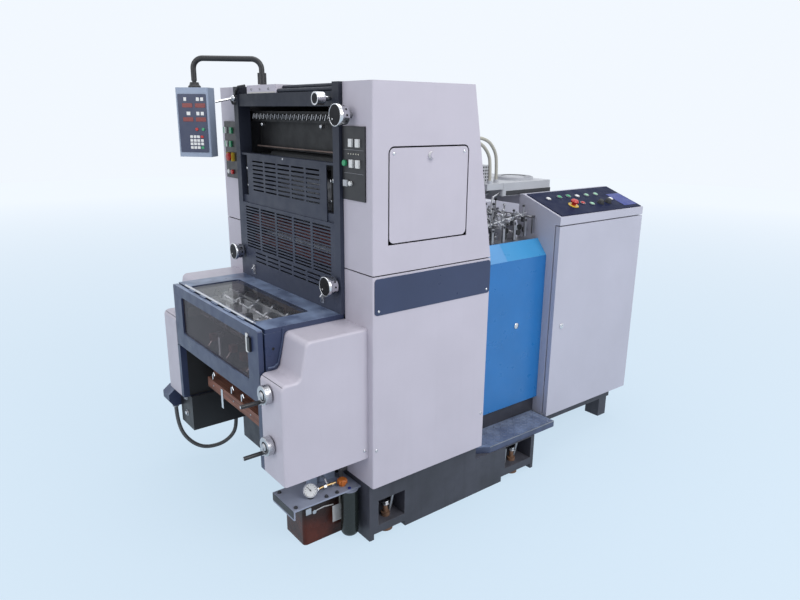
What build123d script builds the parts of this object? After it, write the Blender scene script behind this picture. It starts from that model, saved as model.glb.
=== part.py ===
"""Offset printing press: one-colour sheet-fed press with delivery, printing unit and feeder.

Units are millimetres.  The origin is on the floor under the middle of the base.
+X runs towards the feeder, -Y is the operator side, +Z is up.
"""
import math
import os

from build123d import *

# Base
BASE_LENGTH = 884.0
BASE_WIDTH = 1044.0
BASE_HEIGHT = 232.0
BASE_DECK = 157.0
BASE_SETBACK = 5.0
BASE_NOTCH = 22.0
FRONT_POCKET_INSET = 40.0
FRONT_POCKET_LENGTH = 121.0
REAR_POCKET_INSET = 20.0
REAR_POCKET_LENGTH = 160.0
POCKET_Z = (54.0, 154.0)
POCKET_DEPTH = 110.0
JACK_INSET = 40.0
JACK_PAD_R = 28.0
JACK_PAD_H = 12.0
JACK_BOLT_R = 9.0
JACK_NUT_R = 17.0
JACK_NUT_H = 14.0
JACK_RISE = 34.0
JACK_HOLE_CLEAR = 3.0
RISER_HALF = 382.0

# Printing unit
UNIT_WIDTH = 1104.0
UNIT_FRONT = -447.0
UNIT_DEPTH = 531.0
UNIT_TOP_DEPTH = 422.0
UNIT_HEIGHT = 1600.0
KNEE_DROP = 601.0
SEAM_STEP = 59.0
SEAM_GAP = 4.0
COVER_DEPTH = 164.0
SHEET = 3.0
FRAME_THICK = 40.0
FRAME_INSET = 6.0
COVER_CORNER = 6.0

# Hatch and trim band on the operator side
HATCH_X = (-382.0, -48.0)
HATCH_DROP = (500.0, 199.0)
HATCH_CORNER = 18.0
DOOR_GAP = 5.0
KNOB_R = 11.0
KNOB_H = 14.0
KNOB_X = -213.0
KNOB_DROP = 26.0
BAND_DROP = (132.0, 9.0)
BAND_INSET = 6.0
BAND_THICK = 2.0
BAND_CORNER = 12.0

# Gooseneck hinges of the sheet doors
HINGE_OFFSET = 5.0
PIN_R = 3.0
PIN_CLEAR = 0.15
KNUCKLE_R = 5.0
KNUCKLE_LENGTH = 40.0
LUG_THICK = 8.0
LUG_CLEAR = 0.3
LUG_REACH = 22.0
LUG_BAR = 6.0
LUG_FOOT = 8.0
HINGE_TAIL = 8.0

# Strap hinges of the cabinet door
STRAP_OFFSET = 7.0
STRAP_REACH = 20.0
STRAP_CLEAR = 2.0

# Guard between the side covers
GUARD_FRONT = -462.0
POST_WIDTH = 38.0
POST_DEPTH = 52.0
GUARD_BOTTOM = 836.0
BEAM_DROP = (75.0, 28.0)
BEAM_DEPTH = 46.0
MID_RAIL_SHARE = 0.4058
MID_RAIL_HEIGHT = 30.0
MID_RAIL_DEPTH = 30.0
PANEL_THICK = 4.0
UPPER_PANEL_SIDE = 50.0
UPPER_PANEL_SHARE = 0.6662
UPPER_SLOT_EDGE = (24.0, 27.0)
UPPER_SLOT_SIDE = 38.0
UPPER_SLOT_ROWS = 8
LOWER_SLOT_SHARE = 0.165
LOWER_SLOT_EDGE = 14.0
LOWER_SLOT_SIDE = 16.0
LOWER_SLOT_ROWS = 15
FOOT_SLOT_SHARE = (0.094, 0.147)
FOOT_SLOT_SIDE = 88.0
FOOT_SLOT_ROWS = 3
SLOT_COLUMNS = 5
SLOT_HEIGHT = 6.0
SLOT_BRIDGE = 14.0
RAIL_R = 7.0

# Ink train and cylinders
CYLINDER_SHARE = 0.1126
CYLINDER_SIDE = 113.0
JOURNAL_R = 24.0
CYLINDER_PLACES = ((-270.0, 0.471), (-312.0, 0.2356), (-180.0, 0.0576))
ROLLER_SHARE = 0.0366
ROLLER_SHAFT_R = 11.0
ROLLER_PLACES = (
    (-340.0, 0.6466),
    (-262.0, 0.6466),
    (-186.0, 0.6466),
    (-300.0, 0.7435),
    (-224.0, 0.7435),
)
KEY_BAR_X = (-396.0, -366.0)
KEY_BAR_DROP = (132.0, 92.0)
KEY_COUNT = 20
KEY_PITCH = 30.0
KEY_R = 8.0
KEY_LENGTH = 26.0
TOP_COVER_THICK = 6.0

# Switch plates, dials and levers on the unit front
SWITCH_EDGE = (35.0, 160.0)
SWITCH_DROP = (366.0, 135.0)
SWITCH_THICK = 5.0
SPINDLE_R = 9.0
SPINDLE_CLEAR = 0.1
DIAL_R = 35.0
DIAL_BODY_R = 30.0
DIAL_LENGTH = 42.0
DIAL_RIM = 13.0
DIAL_CAP = 9.0
DIAL_HOLES = 10
DIAL_HOLE_R = 4.0
DIAL_HOLE_DEPTH = 9.0
DIAL_STAND_OFF = 5.0
DIAL_UPPER_OFFSET = (49.0, 102.0)
DIAL_LOWER_OFFSET = (-6.0, 100.0)
DIAL_DRIVE_OFFSET = (16.0, 100.0)
LEVER_OFFSET = (19.0, 44.0)
LEVER_HUB_R = 10.0
LEVER_HUB_L = 16.0
LEVER_R = 4.5
LEVER_LENGTH = 76.0
LEVER_RUN = (-98.0, 14.0, -20.0)
TRIP_OFFSET = (14.0, 52.0)
TRIP_STEM_R = 8.0
TRIP_STEM_L = 30.0
TRIP_R = 21.0
TRIP_LENGTH = 30.0

# Operator console on its swing arm
ARM_BASE_X = -407.0
ARM_BASE_SIDE = 112.0
ARM_END_X = -621.0
ARM_END_SIDE = 35.0
ARM_RISE = 100.0
ARM_R = 10.5
ARM_BEND = 38.0
BRACKET_X = (-458.0, -370.0)
BRACKET_SIDE = (317.0, 80.0)
BRACKET_HEIGHT = 30.0
ARM_STUB_R = 8.0
ARM_STUB_H = 34.0
ARM_SOCKET_R = 17.0
ARM_SOCKET_H = 42.0
CONSOLE_WIDTH = 132.0
CONSOLE_DEPTH = 66.0
CONSOLE_DROP = (268.0, 8.0)
CONSOLE_TURN = -46.0
CONSOLE_CORNER = 6.0
CONSOLE_COLLAR_R = 15.0
CONSOLE_COLLAR_H = 20.0
CONSOLE_FACE_SIDE = 9.0
CONSOLE_FACE_EDGE = (18.0, 24.0)
CONSOLE_FACE_THICK = 2.5
MOVE_GAP = 5.0

# Delivery
DELIVERY_FRONT = -773.0
DELIVERY_TOP = 836.0
DELIVERY_BOTTOM = 343.0
SIDE_COVER_Y = (381.0, 523.0)
SIDE_COVER_TOP = 818.0
DRIVE_COVER_RISE = 18.0
SIDE_COVER_STEP = 693.0
SIDE_COVER_SLOPE_X = (-705.0, -679.0)
SIDE_COVER_CORNER = 22.0
SIDE_COVER_EDGE = 9.0
SIDE_PLATE_INNER = 355.0
TOP_FRAME_THICK = 16.0
TOP_FRAME_FRONT = -747.0
TOP_WINDOW_X = (-734.0, -530.0)
TOP_WINDOW_HALF = 287.0
WINDOW_THICK = 5.0
WINDOW_CORNER = 14.0
FRONT_COVER_Z = (580.0, 834.0)
FRONT_COVER_HALF = 376.0
FRONT_COVER_THICK = 18.0
FRONT_WINDOW_Z = (640.0, 795.0)
FRONT_WINDOW_HALF = 297.0
BARREL_R = 4.0
BARREL_PIN_R = 2.2
BARREL_PIN_CLEAR = 0.12
BARREL_HALF = 300.0
BARREL_KNUCKLES = 11
BARREL_GAP = 0.4
LEAF_THICK = 2.0
LEAF_WIDTH = 14.0
LEG_X = (-747.0, -447.0)
LEG_Y = (340.0, 475.0)
LEG_Z = (190.0, 343.0)
BACK_PLATE_Z = (300.0, 836.0)
BACK_PLATE_THICK = 6.0
SHAFT_R = 9.0
SHAFT_DISC_R = 30.0
SHAFT_DISC_W = 12.0
SHAFT_CENTRES = ((-690.0, 748.0), (-600.0, 776.0), (-510.0, 760.0))
SHAFT_DISC_Y = (-240.0, -120.0, 0.0, 120.0, 240.0)

# Delivery pile
PILE_BOARD_X = (-690.0, -470.0)
PILE_BOARD_HALF = 290.0
PILE_BOARD_Z = (398.0, 440.0)
PILE_EAR_HALF = 349.0
PILE_EAR_X = (-640.0, -580.0)
GUIDE_R = 8.0
GUIDE_CLEAR = 0.15
GUIDE_Y = 336.0
GUIDE_Z = (356.0, 604.0)
GUIDE_BLOCK = 16.0

# Cranks on the operator side delivery cover
CRANK_Y = -440.0
CRANK_UPPER_Z = 643.0
CRANK_LOWER_Z = 463.0
CRANK_HUB_R = 32.0
CRANK_HUB_L = 20.0
CRANK_SPINDLE_R = 10.0
CRANK_ARM = (20.0, -30.0)
CRANK_ARM_W = 20.0
CRANK_ARM_T = 8.0
HANDLE_R = 7.0
HANDLE_LENGTH = 66.0

# Conduit box and hose under the drive side delivery cover
CONDUIT_Y = (475.0, 548.0)
CONDUIT_OUTLINE = (
    (-798.0, 288.0),
    (-798.0, 318.0),
    (-766.0, 343.0),
    (-712.0, 343.0),
    (-712.0, 262.0),
    (-780.0, 262.0),
)
GLAND_R = 13.0
GLAND_H = 16.0
HOSE_R = 8.5
HOSE_START = (-760.0, 510.0)
HOSE_BENDS = (
    (-760.0, 510.0, 172.0),
    (-738.0, 488.0, 92.0),
    (-678.0, 458.0, 36.0),
    (-600.0, 436.0, 36.0),
    (-548.0, 424.0, 66.0),
    (-522.0, 420.0, 112.0),
)
HOSE_END = (-522.0, 420.0)

# Tank, its shelf and fittings
TANK_X = (-643.0, -461.0)
TANK_Y = (-401.0, -262.0)
TANK_CORNER = 14.0
SHELF_X = (-717.0, -442.0)
SHELF_Y = (-468.0, -317.0)
SHELF_Z = (200.0, 206.0)
SHELF_FLANGE = 30.0
PUMP_R = 32.0
PUMP_BOTTOM = 14.0
PUMP_ROUND = 20.0
PUMP_XY = (-480.0, -450.0)
GAUGE_XY = (-627.0, -428.0)
GAUGE_STEM_R = 5.0
GAUGE_STEM_H = 18.0
GAUGE_R = 26.0
GAUGE_THICK = 16.0
CAP_XY = (-494.0, -425.0)
CAP_R = 19.0
CAP_H = 26.0

# Feeder
CABINET_GAP = 144.0
CABINET_LENGTH = 602.0
CABINET_Y = (-462.0, -227.0)
CABINET_BOTTOM = 180.0
CABINET_FRONT_DROP = 510.0
CABINET_BACK_DROP = 434.0
CABINET_RIM = 24.0
CABINET_LIP = 35.0
CABINET_FLANGE = 14.0
CABINET_DOOR_THICK = 21.0
CONTROL_INSET = 12.0
CONTROL_THICK = 4.0
HOUSING_Y = (300.0, 440.0)
HOUSING_DROP = 550.0
HOUSING_CHAMFER = 40.0
RAIL_Y = (300.0, 380.0)
RAIL_Z = (96.0, 180.0)
RAIL_FOOT_INSET = (78.0, 18.0)
STEP_GAP = (4.0, 13.0)
STEP_EDGE = 3.0
STEP_THICK = 28.0
STEP_CUT = (81.0, 49.0)
BLUE_Y = (340.0, 399.0)
BLUE_BOTTOM = 259.0
BLUE_KNEE_DROP = 680.0
BLUE_TOP_DROP = 614.0
BLUE_SLOPE_Y = 346.0
FEED_GAP = (8.0, 4.0)
FEED_DROP = (698.0, 638.0)
FEED_THICK = 14.0
FEED_RAIL_Y = 210.0
FEED_RAIL_W = 16.0
FEED_RAIL_H = 60.0
FEED_SHAFT_SHARES = (0.16, 0.42, 0.69, 0.91)
FEED_WHEEL_Y = (-120.0, 0.0, 120.0)
FEED_WHEEL_R = 22.0
FEED_WHEEL_W = 18.0
BEAM_OFFSET = (14.0, 74.0)
FEED_BEAM_HEIGHT = 40.0
BEAM_POST_Y = (20.0, 60.0)
HEAD_OFFSET = (-96.0, 220.0)
HEAD_HALF = 215.0
HEAD_DROP = 440.0
HEAD_HEIGHT = 56.0
HEAD_CORNER = 10.0
HEAD_CAP_R = 90.0
HEAD_CAP_SHIFT = (40.0, -90.0)
HEAD_CAP_H = 12.0
MANIFOLD_LENGTH = 96.0
MANIFOLD_Y = (-214.0, -100.0)
MANIFOLD_FOOT = 26.0
MANIFOLD_PLATE = (84.0, 40.0)
MANIFOLD_RISE = 74.0
FEED_PILE_OFFSET = (134.0, 564.0)
FEED_PILE_Y = (-205.0, 280.0)
FEED_PILE_Z = (520.0, 550.0)
STUB_R = 11.0
STUB_H = 14.0
AIR_HOSE_R = 7.0
AIR_HOSE_ARCH = 8.0
AIR_HOSE_BEND = (70.0, 10.0)
AIR_HOSE_FALL = (0.30, 0.655)
AIR_HOSE_Y = (-200.0, -172.0)
AIR_HOSE_OFFSET = (27.0, 94.0)
AIR_HOSE_DROP = (208.0, 196.0)


def below_top(drops):
    """Heights measured down from the top of the printing unit."""
    return tuple(UNIT_HEIGHT - drop for drop in drops)


def guard_z(share):
    """Height at a share of the way from the foot of the guard to the top of the unit."""
    return GUARD_BOTTOM + share * (UNIT_HEIGHT - GUARD_BOTTOM)


# Sizes that follow from those above
UNIT_HALF = UNIT_WIDTH / 2
UNIT_REAR = UNIT_FRONT + UNIT_DEPTH
UNIT_TOP_REAR = UNIT_FRONT + UNIT_TOP_DEPTH
KNEE_Z = UNIT_HEIGHT - KNEE_DROP
SEAM_OPERATOR = KNEE_Z
SEAM_DRIVE = KNEE_Z + SEAM_STEP
COVER_INNER = UNIT_HALF - COVER_DEPTH
FRAME_INNER = COVER_INNER + FRAME_INSET
BASE_HALF = BASE_WIDTH / 2
BASE_FRONT = UNIT_FRONT + BASE_SETBACK
BASE_REAR = BASE_FRONT + BASE_LENGTH
FRONT_POCKET = (BASE_FRONT + FRONT_POCKET_INSET, BASE_FRONT + FRONT_POCKET_INSET + FRONT_POCKET_LENGTH)
REAR_POCKET = (BASE_REAR - REAR_POCKET_INSET - REAR_POCKET_LENGTH, BASE_REAR - REAR_POCKET_INSET)
HATCH_Z = below_top(HATCH_DROP)
BAND_Z = (KNEE_Z - BAND_DROP[0], KNEE_Z - BAND_DROP[1])

GUARD_HALF = COVER_INNER - POST_WIDTH
BEAM_Z = below_top(BEAM_DROP)
MID_RAIL_Z = (guard_z(MID_RAIL_SHARE), guard_z(MID_RAIL_SHARE) + MID_RAIL_HEIGHT)
UPPER_PANEL_HALF = GUARD_HALF - UPPER_PANEL_SIDE
UPPER_PANEL_TOP = guard_z(UPPER_PANEL_SHARE)
UPPER_SLOT_Z = (MID_RAIL_Z[1] + UPPER_SLOT_EDGE[0], UPPER_PANEL_TOP - UPPER_SLOT_EDGE[1])
UPPER_SLOT_HALF = UPPER_PANEL_HALF - UPPER_SLOT_SIDE
LOWER_SLOT_Z = (guard_z(LOWER_SLOT_SHARE), MID_RAIL_Z[0] - LOWER_SLOT_EDGE)
LOWER_SLOT_HALF = GUARD_HALF - LOWER_SLOT_SIDE
FOOT_SLOT_Z = tuple(guard_z(share) for share in FOOT_SLOT_SHARE)
FOOT_SLOT_HALF = GUARD_HALF - FOOT_SLOT_SIDE
CYLINDER_R = CYLINDER_SHARE * (UNIT_HEIGHT - GUARD_BOTTOM)
CYLINDER_HALF = COVER_INNER - CYLINDER_SIDE
CYLINDER_CENTRES = [(x, guard_z(share)) for x, share in CYLINDER_PLACES]
ROLLER_R = ROLLER_SHARE * (UNIT_HEIGHT - GUARD_BOTTOM)
ROLLER_CENTRES = [(x, guard_z(share)) for x, share in ROLLER_PLACES]
KEY_BAR_Z = below_top(KEY_BAR_DROP)
SWITCH_Y = (SWITCH_EDGE[0] - UNIT_HALF, SWITCH_EDGE[1] - UNIT_HALF)
SWITCH_Z = below_top(SWITCH_DROP)
DIAL_UPPER = (-COVER_INNER - DIAL_UPPER_OFFSET[0], UNIT_HEIGHT - DIAL_UPPER_OFFSET[1])
DIAL_LOWER = (DIAL_LOWER_OFFSET[0] - GUARD_HALF, GUARD_BOTTOM + DIAL_LOWER_OFFSET[1])
DIAL_DRIVE = (COVER_INNER - DIAL_DRIVE_OFFSET[0], GUARD_BOTTOM + DIAL_DRIVE_OFFSET[1])
LEVER_YZ = (COVER_INNER - LEVER_OFFSET[0], UNIT_HEIGHT - LEVER_OFFSET[1])
TRIP_YZ = (TRIP_OFFSET[0] - GUARD_HALF, UNIT_HEIGHT - TRIP_OFFSET[1])
BRACKET_Y = (GUARD_HALF - BRACKET_SIDE[0], GUARD_HALF - BRACKET_SIDE[1])
BRACKET_Z = (BEAM_Z[1], BEAM_Z[1] + BRACKET_HEIGHT)
ARM_BASE = (ARM_BASE_X, GUARD_HALF - ARM_BASE_SIDE)
ARM_END = (ARM_END_X, GUARD_HALF + ARM_END_SIDE)
ARM_TOP_Z = UNIT_HEIGHT + ARM_RISE
CONSOLE_Z = below_top(CONSOLE_DROP)

CABINET_X = (BASE_REAR + CABINET_GAP, BASE_REAR + CABINET_GAP + CABINET_LENGTH)
CABINET_FRONT_TOP = UNIT_HEIGHT - CABINET_FRONT_DROP
CABINET_BACK_TOP = UNIT_HEIGHT - CABINET_BACK_DROP
CABINET_FACE = CABINET_Y[0] + CABINET_DOOR_THICK + DOOR_GAP
CABINET_LIP_Z = CABINET_FRONT_TOP - CABINET_LIP
CABINET_DOOR_Z = (CABINET_BOTTOM, CABINET_LIP_Z - DOOR_GAP)
HOUSING_TOP = UNIT_HEIGHT - HOUSING_DROP
RAIL_FOOT_X = tuple(CABINET_X[1] - inset for inset in RAIL_FOOT_INSET)
BEAM_X = tuple(CABINET_X[0] + offset for offset in BEAM_OFFSET)
HEAD_X = tuple(CABINET_X[0] + offset for offset in HEAD_OFFSET)
MANIFOLD_X = (HEAD_X[0] - MANIFOLD_LENGTH, HEAD_X[0])
FEED_PILE_X = tuple(CABINET_X[0] + offset for offset in FEED_PILE_OFFSET)
AIR_HOSE_X = tuple(MANIFOLD_X[0] + offset for offset in AIR_HOSE_OFFSET)
STEP_X = (UNIT_REAR + STEP_GAP[0], CABINET_X[0] - STEP_GAP[1])
STEP_Y = (STEP_EDGE - BASE_HALF, -RISER_HALF)
BLUE_Z = (BLUE_BOTTOM, UNIT_HEIGHT - BLUE_KNEE_DROP)
BLUE_TOP = UNIT_HEIGHT - BLUE_TOP_DROP
FEED_X = (UNIT_REAR + FEED_GAP[0], CABINET_X[0] - FEED_GAP[1])
FEED_Z = below_top(FEED_DROP)
FEED_SHAFT_X = [FEED_X[0] + share * (FEED_X[1] - FEED_X[0]) for share in FEED_SHAFT_SHARES]
HEAD_Z = (UNIT_HEIGHT - HEAD_DROP, UNIT_HEIGHT - HEAD_DROP + HEAD_HEIGHT)
FEED_BEAM_Z = (HEAD_Z[0] - FEED_BEAM_HEIGHT, HEAD_Z[0])
AIR_HOSE_Z = below_top(AIR_HOSE_DROP)


def block(x, y, z):
    """Box between the given low and high values on each axis."""
    centre = ((x[0] + x[1]) / 2, (y[0] + y[1]) / 2, (z[0] + z[1]) / 2)
    return Pos(*centre) * Box(x[1] - x[0], y[1] - y[0], z[1] - z[0])


def rod(start, direction, radius, length):
    """Round bar from a start point along a direction."""
    place = Plane(origin=start, z_dir=direction)
    return place * Cylinder(radius, length, align=(Align.CENTER, Align.CENTER, Align.MIN))


def prism_y(points, y):
    """Outline in X and Z carried along Y."""
    loop = Polyline(*[(p[0], y[0], p[1]) for p in points], close=True)
    return extrude(make_face(loop), amount=y[1] - y[0], dir=(0, 1, 0))


def prism_x(points, x):
    """Outline in Y and Z carried along X."""
    loop = Polyline(*[(x[0], p[0], p[1]) for p in points], close=True)
    return extrude(make_face(loop), amount=x[1] - x[0], dir=(1, 0, 0))


def plate_y(x, z, y, corner):
    """Sheet facing Y with rounded corners."""
    return fillet(block(x, y, z).edges().filter_by(Axis.Y), corner)


def plate_x(y, z, x, corner):
    """Sheet facing X with rounded corners."""
    return fillet(block(x, y, z).edges().filter_by(Axis.X), corner)


def other_side(shape):
    """The same piece on the other side of the press."""
    return mirror(shape, about=Plane.XZ)


def tube(points, radius):
    """Round hose along straight runs and tangent arcs; returns the solid and its bend radii."""
    bends = []
    for before, here, after in zip(points, points[1:], points[2:]):
        run_in = Vector(*here) - Vector(*before)
        run_out = Vector(*after) - Vector(*here)
        turn = math.radians(run_in.get_angle(run_out))
        bends.append(0.45 * min(run_in.length, run_out.length) / math.tan(turn / 2))
    path = FilletPolyline(*points, radius=bends)
    section = Plane(origin=path @ 0, z_dir=path % 0) * Circle(radius)
    return sweep(section, path=path), bends, path.length


def save(name, *shapes):
    """Write one node of one or more separate solids."""
    shape = shapes[0] if len(shapes) == 1 else Compound(children=list(shapes))
    export_step(shape, f"parts/{name}.step")


def hinge_knuckle(place):
    """Moving knuckle behind a sheet door, on the hinge axis."""
    half = KNUCKLE_LENGTH / 2
    body = Cylinder(KNUCKLE_R, KNUCKLE_LENGTH)
    body += block((-KNUCKLE_R, KNUCKLE_R), (-HINGE_OFFSET, 0), (-half, half))
    return place * (body - Cylinder(PIN_R + PIN_CLEAR, KNUCKLE_LENGTH))


def hinge_lugs(place):
    """Fixed pin with a gooseneck lug at each end, seated behind the frame of the door."""
    half = KNUCKLE_LENGTH / 2 + LUG_CLEAR
    wall = HINGE_TAIL + DOOR_GAP
    solid = Cylinder(PIN_R, 2 * (half + LUG_THICK))
    for low in (-half - LUG_THICK, half):
        span = (low, low + LUG_THICK)
        solid += Pos(0, 0, low + LUG_THICK / 2) * Cylinder(PIN_R + 1, LUG_THICK)
        solid += block((-2 * PIN_R, 0), (0, LUG_REACH), span)
        solid += block((-2 * PIN_R, wall + LUG_FOOT), (LUG_REACH - LUG_BAR, LUG_REACH), span)
        solid += block((wall + LUG_FOOT - LUG_BAR, wall + LUG_FOOT), (-HINGE_OFFSET, LUG_REACH), span)
    return place * solid


def base_bed():
    """Cast base: high under the unit, a lower deck and riser behind, corner pockets and raised notches."""
    outline = [(BASE_FRONT, 0), (BASE_REAR, 0), (BASE_REAR, BASE_DECK), (UNIT_REAR, BASE_DECK)]
    outline += [(UNIT_REAR, BASE_HEIGHT), (BASE_FRONT, BASE_HEIGHT)]
    bed = prism_y(outline, (-BASE_HALF, BASE_HALF))
    bed += block((UNIT_REAR, BASE_REAR), (-RISER_HALF, RISER_HALF), (BASE_DECK, BLUE_BOTTOM))
    for pocket in (FRONT_POCKET, REAR_POCKET):
        notch = (pocket[0] - 20, pocket[1] + 4)
        bed -= block(notch, (-BASE_HALF, BASE_HALF), (0, BASE_NOTCH))
        side = (-BASE_HALF, -BASE_HALF + POCKET_DEPTH)
        pocket_cut = block(pocket, side, POCKET_Z)
        pocket_cut += rod(jack_place(pocket, 0), (0, 0, 1), JACK_BOLT_R + JACK_HOLE_CLEAR, POCKET_Z[1])
        bed -= pocket_cut
        bed -= other_side(pocket_cut)
    return bed


def jack_place(pocket, z):
    """Axis of the levelling jack in a pocket, operator side."""
    return ((pocket[0] + pocket[1]) / 2, -BASE_HALF + JACK_INSET, z)


def levelling_jack(pocket):
    """Floor pad, bolt and the nut that carries the base."""
    jack = rod(jack_place(pocket, 0), (0, 0, 1), JACK_PAD_R, JACK_PAD_H)
    jack += rod(jack_place(pocket, 0), (0, 0, 1), JACK_BOLT_R, POCKET_Z[0] + JACK_NUT_H + JACK_RISE)
    jack += rod(jack_place(pocket, POCKET_Z[0]), (0, 0, 1), JACK_NUT_R, JACK_NUT_H)
    return jack


def footstep():
    """Step plate on the rear deck with a cut corner."""
    x, y = STEP_X, STEP_Y
    cut_x, cut_y = STEP_CUT
    loop = [(x[0] + cut_x, y[0]), (x[1], y[0]), (x[1], y[1]), (x[0], y[1]), (x[0], y[0] + cut_y)]
    face = make_face(Polyline(*[(p[0], p[1], BASE_DECK) for p in loop], close=True))
    return extrude(face, amount=STEP_THICK, dir=(0, 0, 1))


def cover_outline(inset, bottom):
    """Side outline of the printing unit, brought in by a sheet thickness."""
    slope = (UNIT_REAR - UNIT_TOP_REAR) / (UNIT_HEIGHT - KNEE_Z)
    rear_top = UNIT_TOP_REAR - inset + slope * inset
    return [
        (UNIT_FRONT + inset, bottom),
        (UNIT_REAR - inset, bottom),
        (UNIT_REAR - inset, KNEE_Z),
        (rear_top, UNIT_HEIGHT - inset),
        (UNIT_FRONT + inset, UNIT_HEIGHT - inset),
    ]


def side_frame():
    """Cast side frame inside the operator side covers."""
    return prism_y(cover_outline(SHEET, BASE_HEIGHT), (-FRAME_INNER - FRAME_THICK, -FRAME_INNER))


def side_cover():
    """Whole operator side cover: a sheet tray open towards the frame and underneath."""
    shell = prism_y(cover_outline(0, BASE_HEIGHT), (-UNIT_HALF, -COVER_INNER))
    upright = shell.edges().filter_by(Axis.Z).group_by(Axis.Y)[0].group_by(Axis.X)[0]
    shell = fillet(upright, COVER_CORNER)
    inside = prism_y(cover_outline(SHEET, BASE_HEIGHT - SHEET), (-UNIT_HALF + SHEET, -COVER_INNER))
    return shell - inside


def cover_half(cover, low, high):
    """Part of a side cover between two heights."""
    span = UNIT_WIDTH
    return cover & block((UNIT_FRONT - span, UNIT_REAR + span), (-span, span), (low, high))


def hatch_hinge_places():
    """Hinge axes of the hatch: the local Z runs along +X and the door stands along +Z."""
    z = HATCH_Z[0] + HINGE_TAIL
    y = -UNIT_HALF + SHEET + HINGE_OFFSET
    length = HATCH_X[1] - HATCH_X[0]
    spots = (HATCH_X[0] + length * 0.22, HATCH_X[1] - length * 0.22)
    return [Location(Plane(origin=(x, y, z), x_dir=(0, 0, -1), z_dir=(1, 0, 0))) for x in spots]


def upper_cover_operator():
    """Upper operator side cover with the hatch opening, square at the hinge edge, and hinge lugs."""
    cover = cover_half(side_cover(), SEAM_OPERATOR + SEAM_GAP / 2, UNIT_HEIGHT)
    x = (HATCH_X[0] - DOOR_GAP, HATCH_X[1] + DOOR_GAP)
    z = (HATCH_Z[0] - DOOR_GAP, HATCH_Z[1] + DOOR_GAP)
    through = (-UNIT_HALF - SHEET, -UNIT_HALF + 2 * SHEET)
    cover -= plate_y(x, z, through, HATCH_CORNER + DOOR_GAP)
    cover -= block(x, through, (z[0], z[0] + 2 * HATCH_CORNER))
    for place in hatch_hinge_places():
        cover += hinge_lugs(place)
    return cover


def hatch():
    """Hatch leaf with knuckles and a round knob."""
    leaf = plate_y(HATCH_X, HATCH_Z, (-UNIT_HALF, -UNIT_HALF + SHEET), HATCH_CORNER)
    for place in hatch_hinge_places():
        leaf += hinge_knuckle(place)
    leaf += rod((KNOB_X, -UNIT_HALF, HATCH_Z[1] - KNOB_DROP), (0, -1, 0), KNOB_R, KNOB_H)
    return leaf


def band_plate():
    """Trim plate on the lower operator side cover."""
    x = (UNIT_FRONT + BAND_INSET, UNIT_REAR)
    return plate_y(x, BAND_Z, (-UNIT_HALF - BAND_THICK, -UNIT_HALF), BAND_CORNER)


def slot_cuts(half, z, rows, front):
    """Rows of slots in a guard panel, split into columns."""
    column = 2 * half / SLOT_COLUMNS
    pitch = (z[1] - z[0] - SLOT_HEIGHT) / (rows - 1)
    cuts = []
    for i in range(SLOT_COLUMNS):
        y = (-half + i * column + SLOT_BRIDGE / 2, -half + (i + 1) * column - SLOT_BRIDGE / 2)
        for j in range(rows):
            low = z[0] + j * pitch
            cuts.append(block((front - PANEL_THICK, front + 2 * PANEL_THICK), y, (low, low + SLOT_HEIGHT)))
    return cuts


def guard_frame():
    """Posts, top beam, middle rail and top rails of the guard."""
    frame = None
    for side in (-1, 1):
        y = sorted((side * GUARD_HALF, side * COVER_INNER))
        post = block((GUARD_FRONT, GUARD_FRONT + POST_DEPTH), y, (GUARD_BOTTOM, UNIT_HEIGHT))
        frame = post if frame is None else frame + post
    across = (-GUARD_HALF, GUARD_HALF)
    beam_front = BRACKET_X[0]
    frame += block((beam_front, beam_front + BEAM_DEPTH), across, BEAM_Z)
    mid_front = GUARD_FRONT + 2 * PANEL_THICK
    frame += block((mid_front, mid_front + MID_RAIL_DEPTH), across, MID_RAIL_Z)
    for i in range(2):
        start = (beam_front + (1 + 2 * i) * RAIL_R * 1.6, -GUARD_HALF, BEAM_Z[1] + RAIL_R + i * RAIL_R * 1.8)
        frame += rod(start, (0, 1, 0), RAIL_R, GUARD_HALF + BRACKET_Y[0])
    return frame


def upper_guard():
    """Upper slotted guard panel with a stiff top edge, on the middle rail."""
    front = GUARD_FRONT + PANEL_THICK
    half = (-UPPER_PANEL_HALF, UPPER_PANEL_HALF)
    panel = block((front, front + PANEL_THICK), half, (MID_RAIL_Z[0], UPPER_PANEL_TOP))
    lip = (UPPER_PANEL_TOP - 2 * PANEL_THICK, UPPER_PANEL_TOP)
    panel += block((front, front + 8 * PANEL_THICK), (-GUARD_HALF, GUARD_HALF), lip)
    for cut in slot_cuts(UPPER_SLOT_HALF, UPPER_SLOT_Z, UPPER_SLOT_ROWS, front):
        panel -= cut
    return panel


def lower_guard():
    """Lower slotted guard panel between the posts, with a shelf along its foot."""
    front = GUARD_FRONT
    across = (-GUARD_HALF, GUARD_HALF)
    panel = block((front, front + PANEL_THICK), across, (GUARD_BOTTOM, MID_RAIL_Z[0]))
    rear = front + BEAM_DEPTH
    panel += block((front, rear), across, (GUARD_BOTTOM, GUARD_BOTTOM + 2 * PANEL_THICK))
    for cut in slot_cuts(LOWER_SLOT_HALF, LOWER_SLOT_Z, LOWER_SLOT_ROWS, front):
        panel -= cut
    for cut in slot_cuts(FOOT_SLOT_HALF, FOOT_SLOT_Z, FOOT_SLOT_ROWS, front):
        panel -= cut
    panel += block((front, front + 2 * PANEL_THICK), across, (MID_RAIL_Z[0] - 10, MID_RAIL_Z[0]))
    return panel


def spindle(yz, face):
    """Fixed spindle that a dial turns on."""
    tip = GUARD_FRONT - DIAL_STAND_OFF - DIAL_LENGTH + DIAL_CAP + 1
    return rod((face, *yz), (-1, 0, 0), SPINDLE_R, face - tip)


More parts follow.
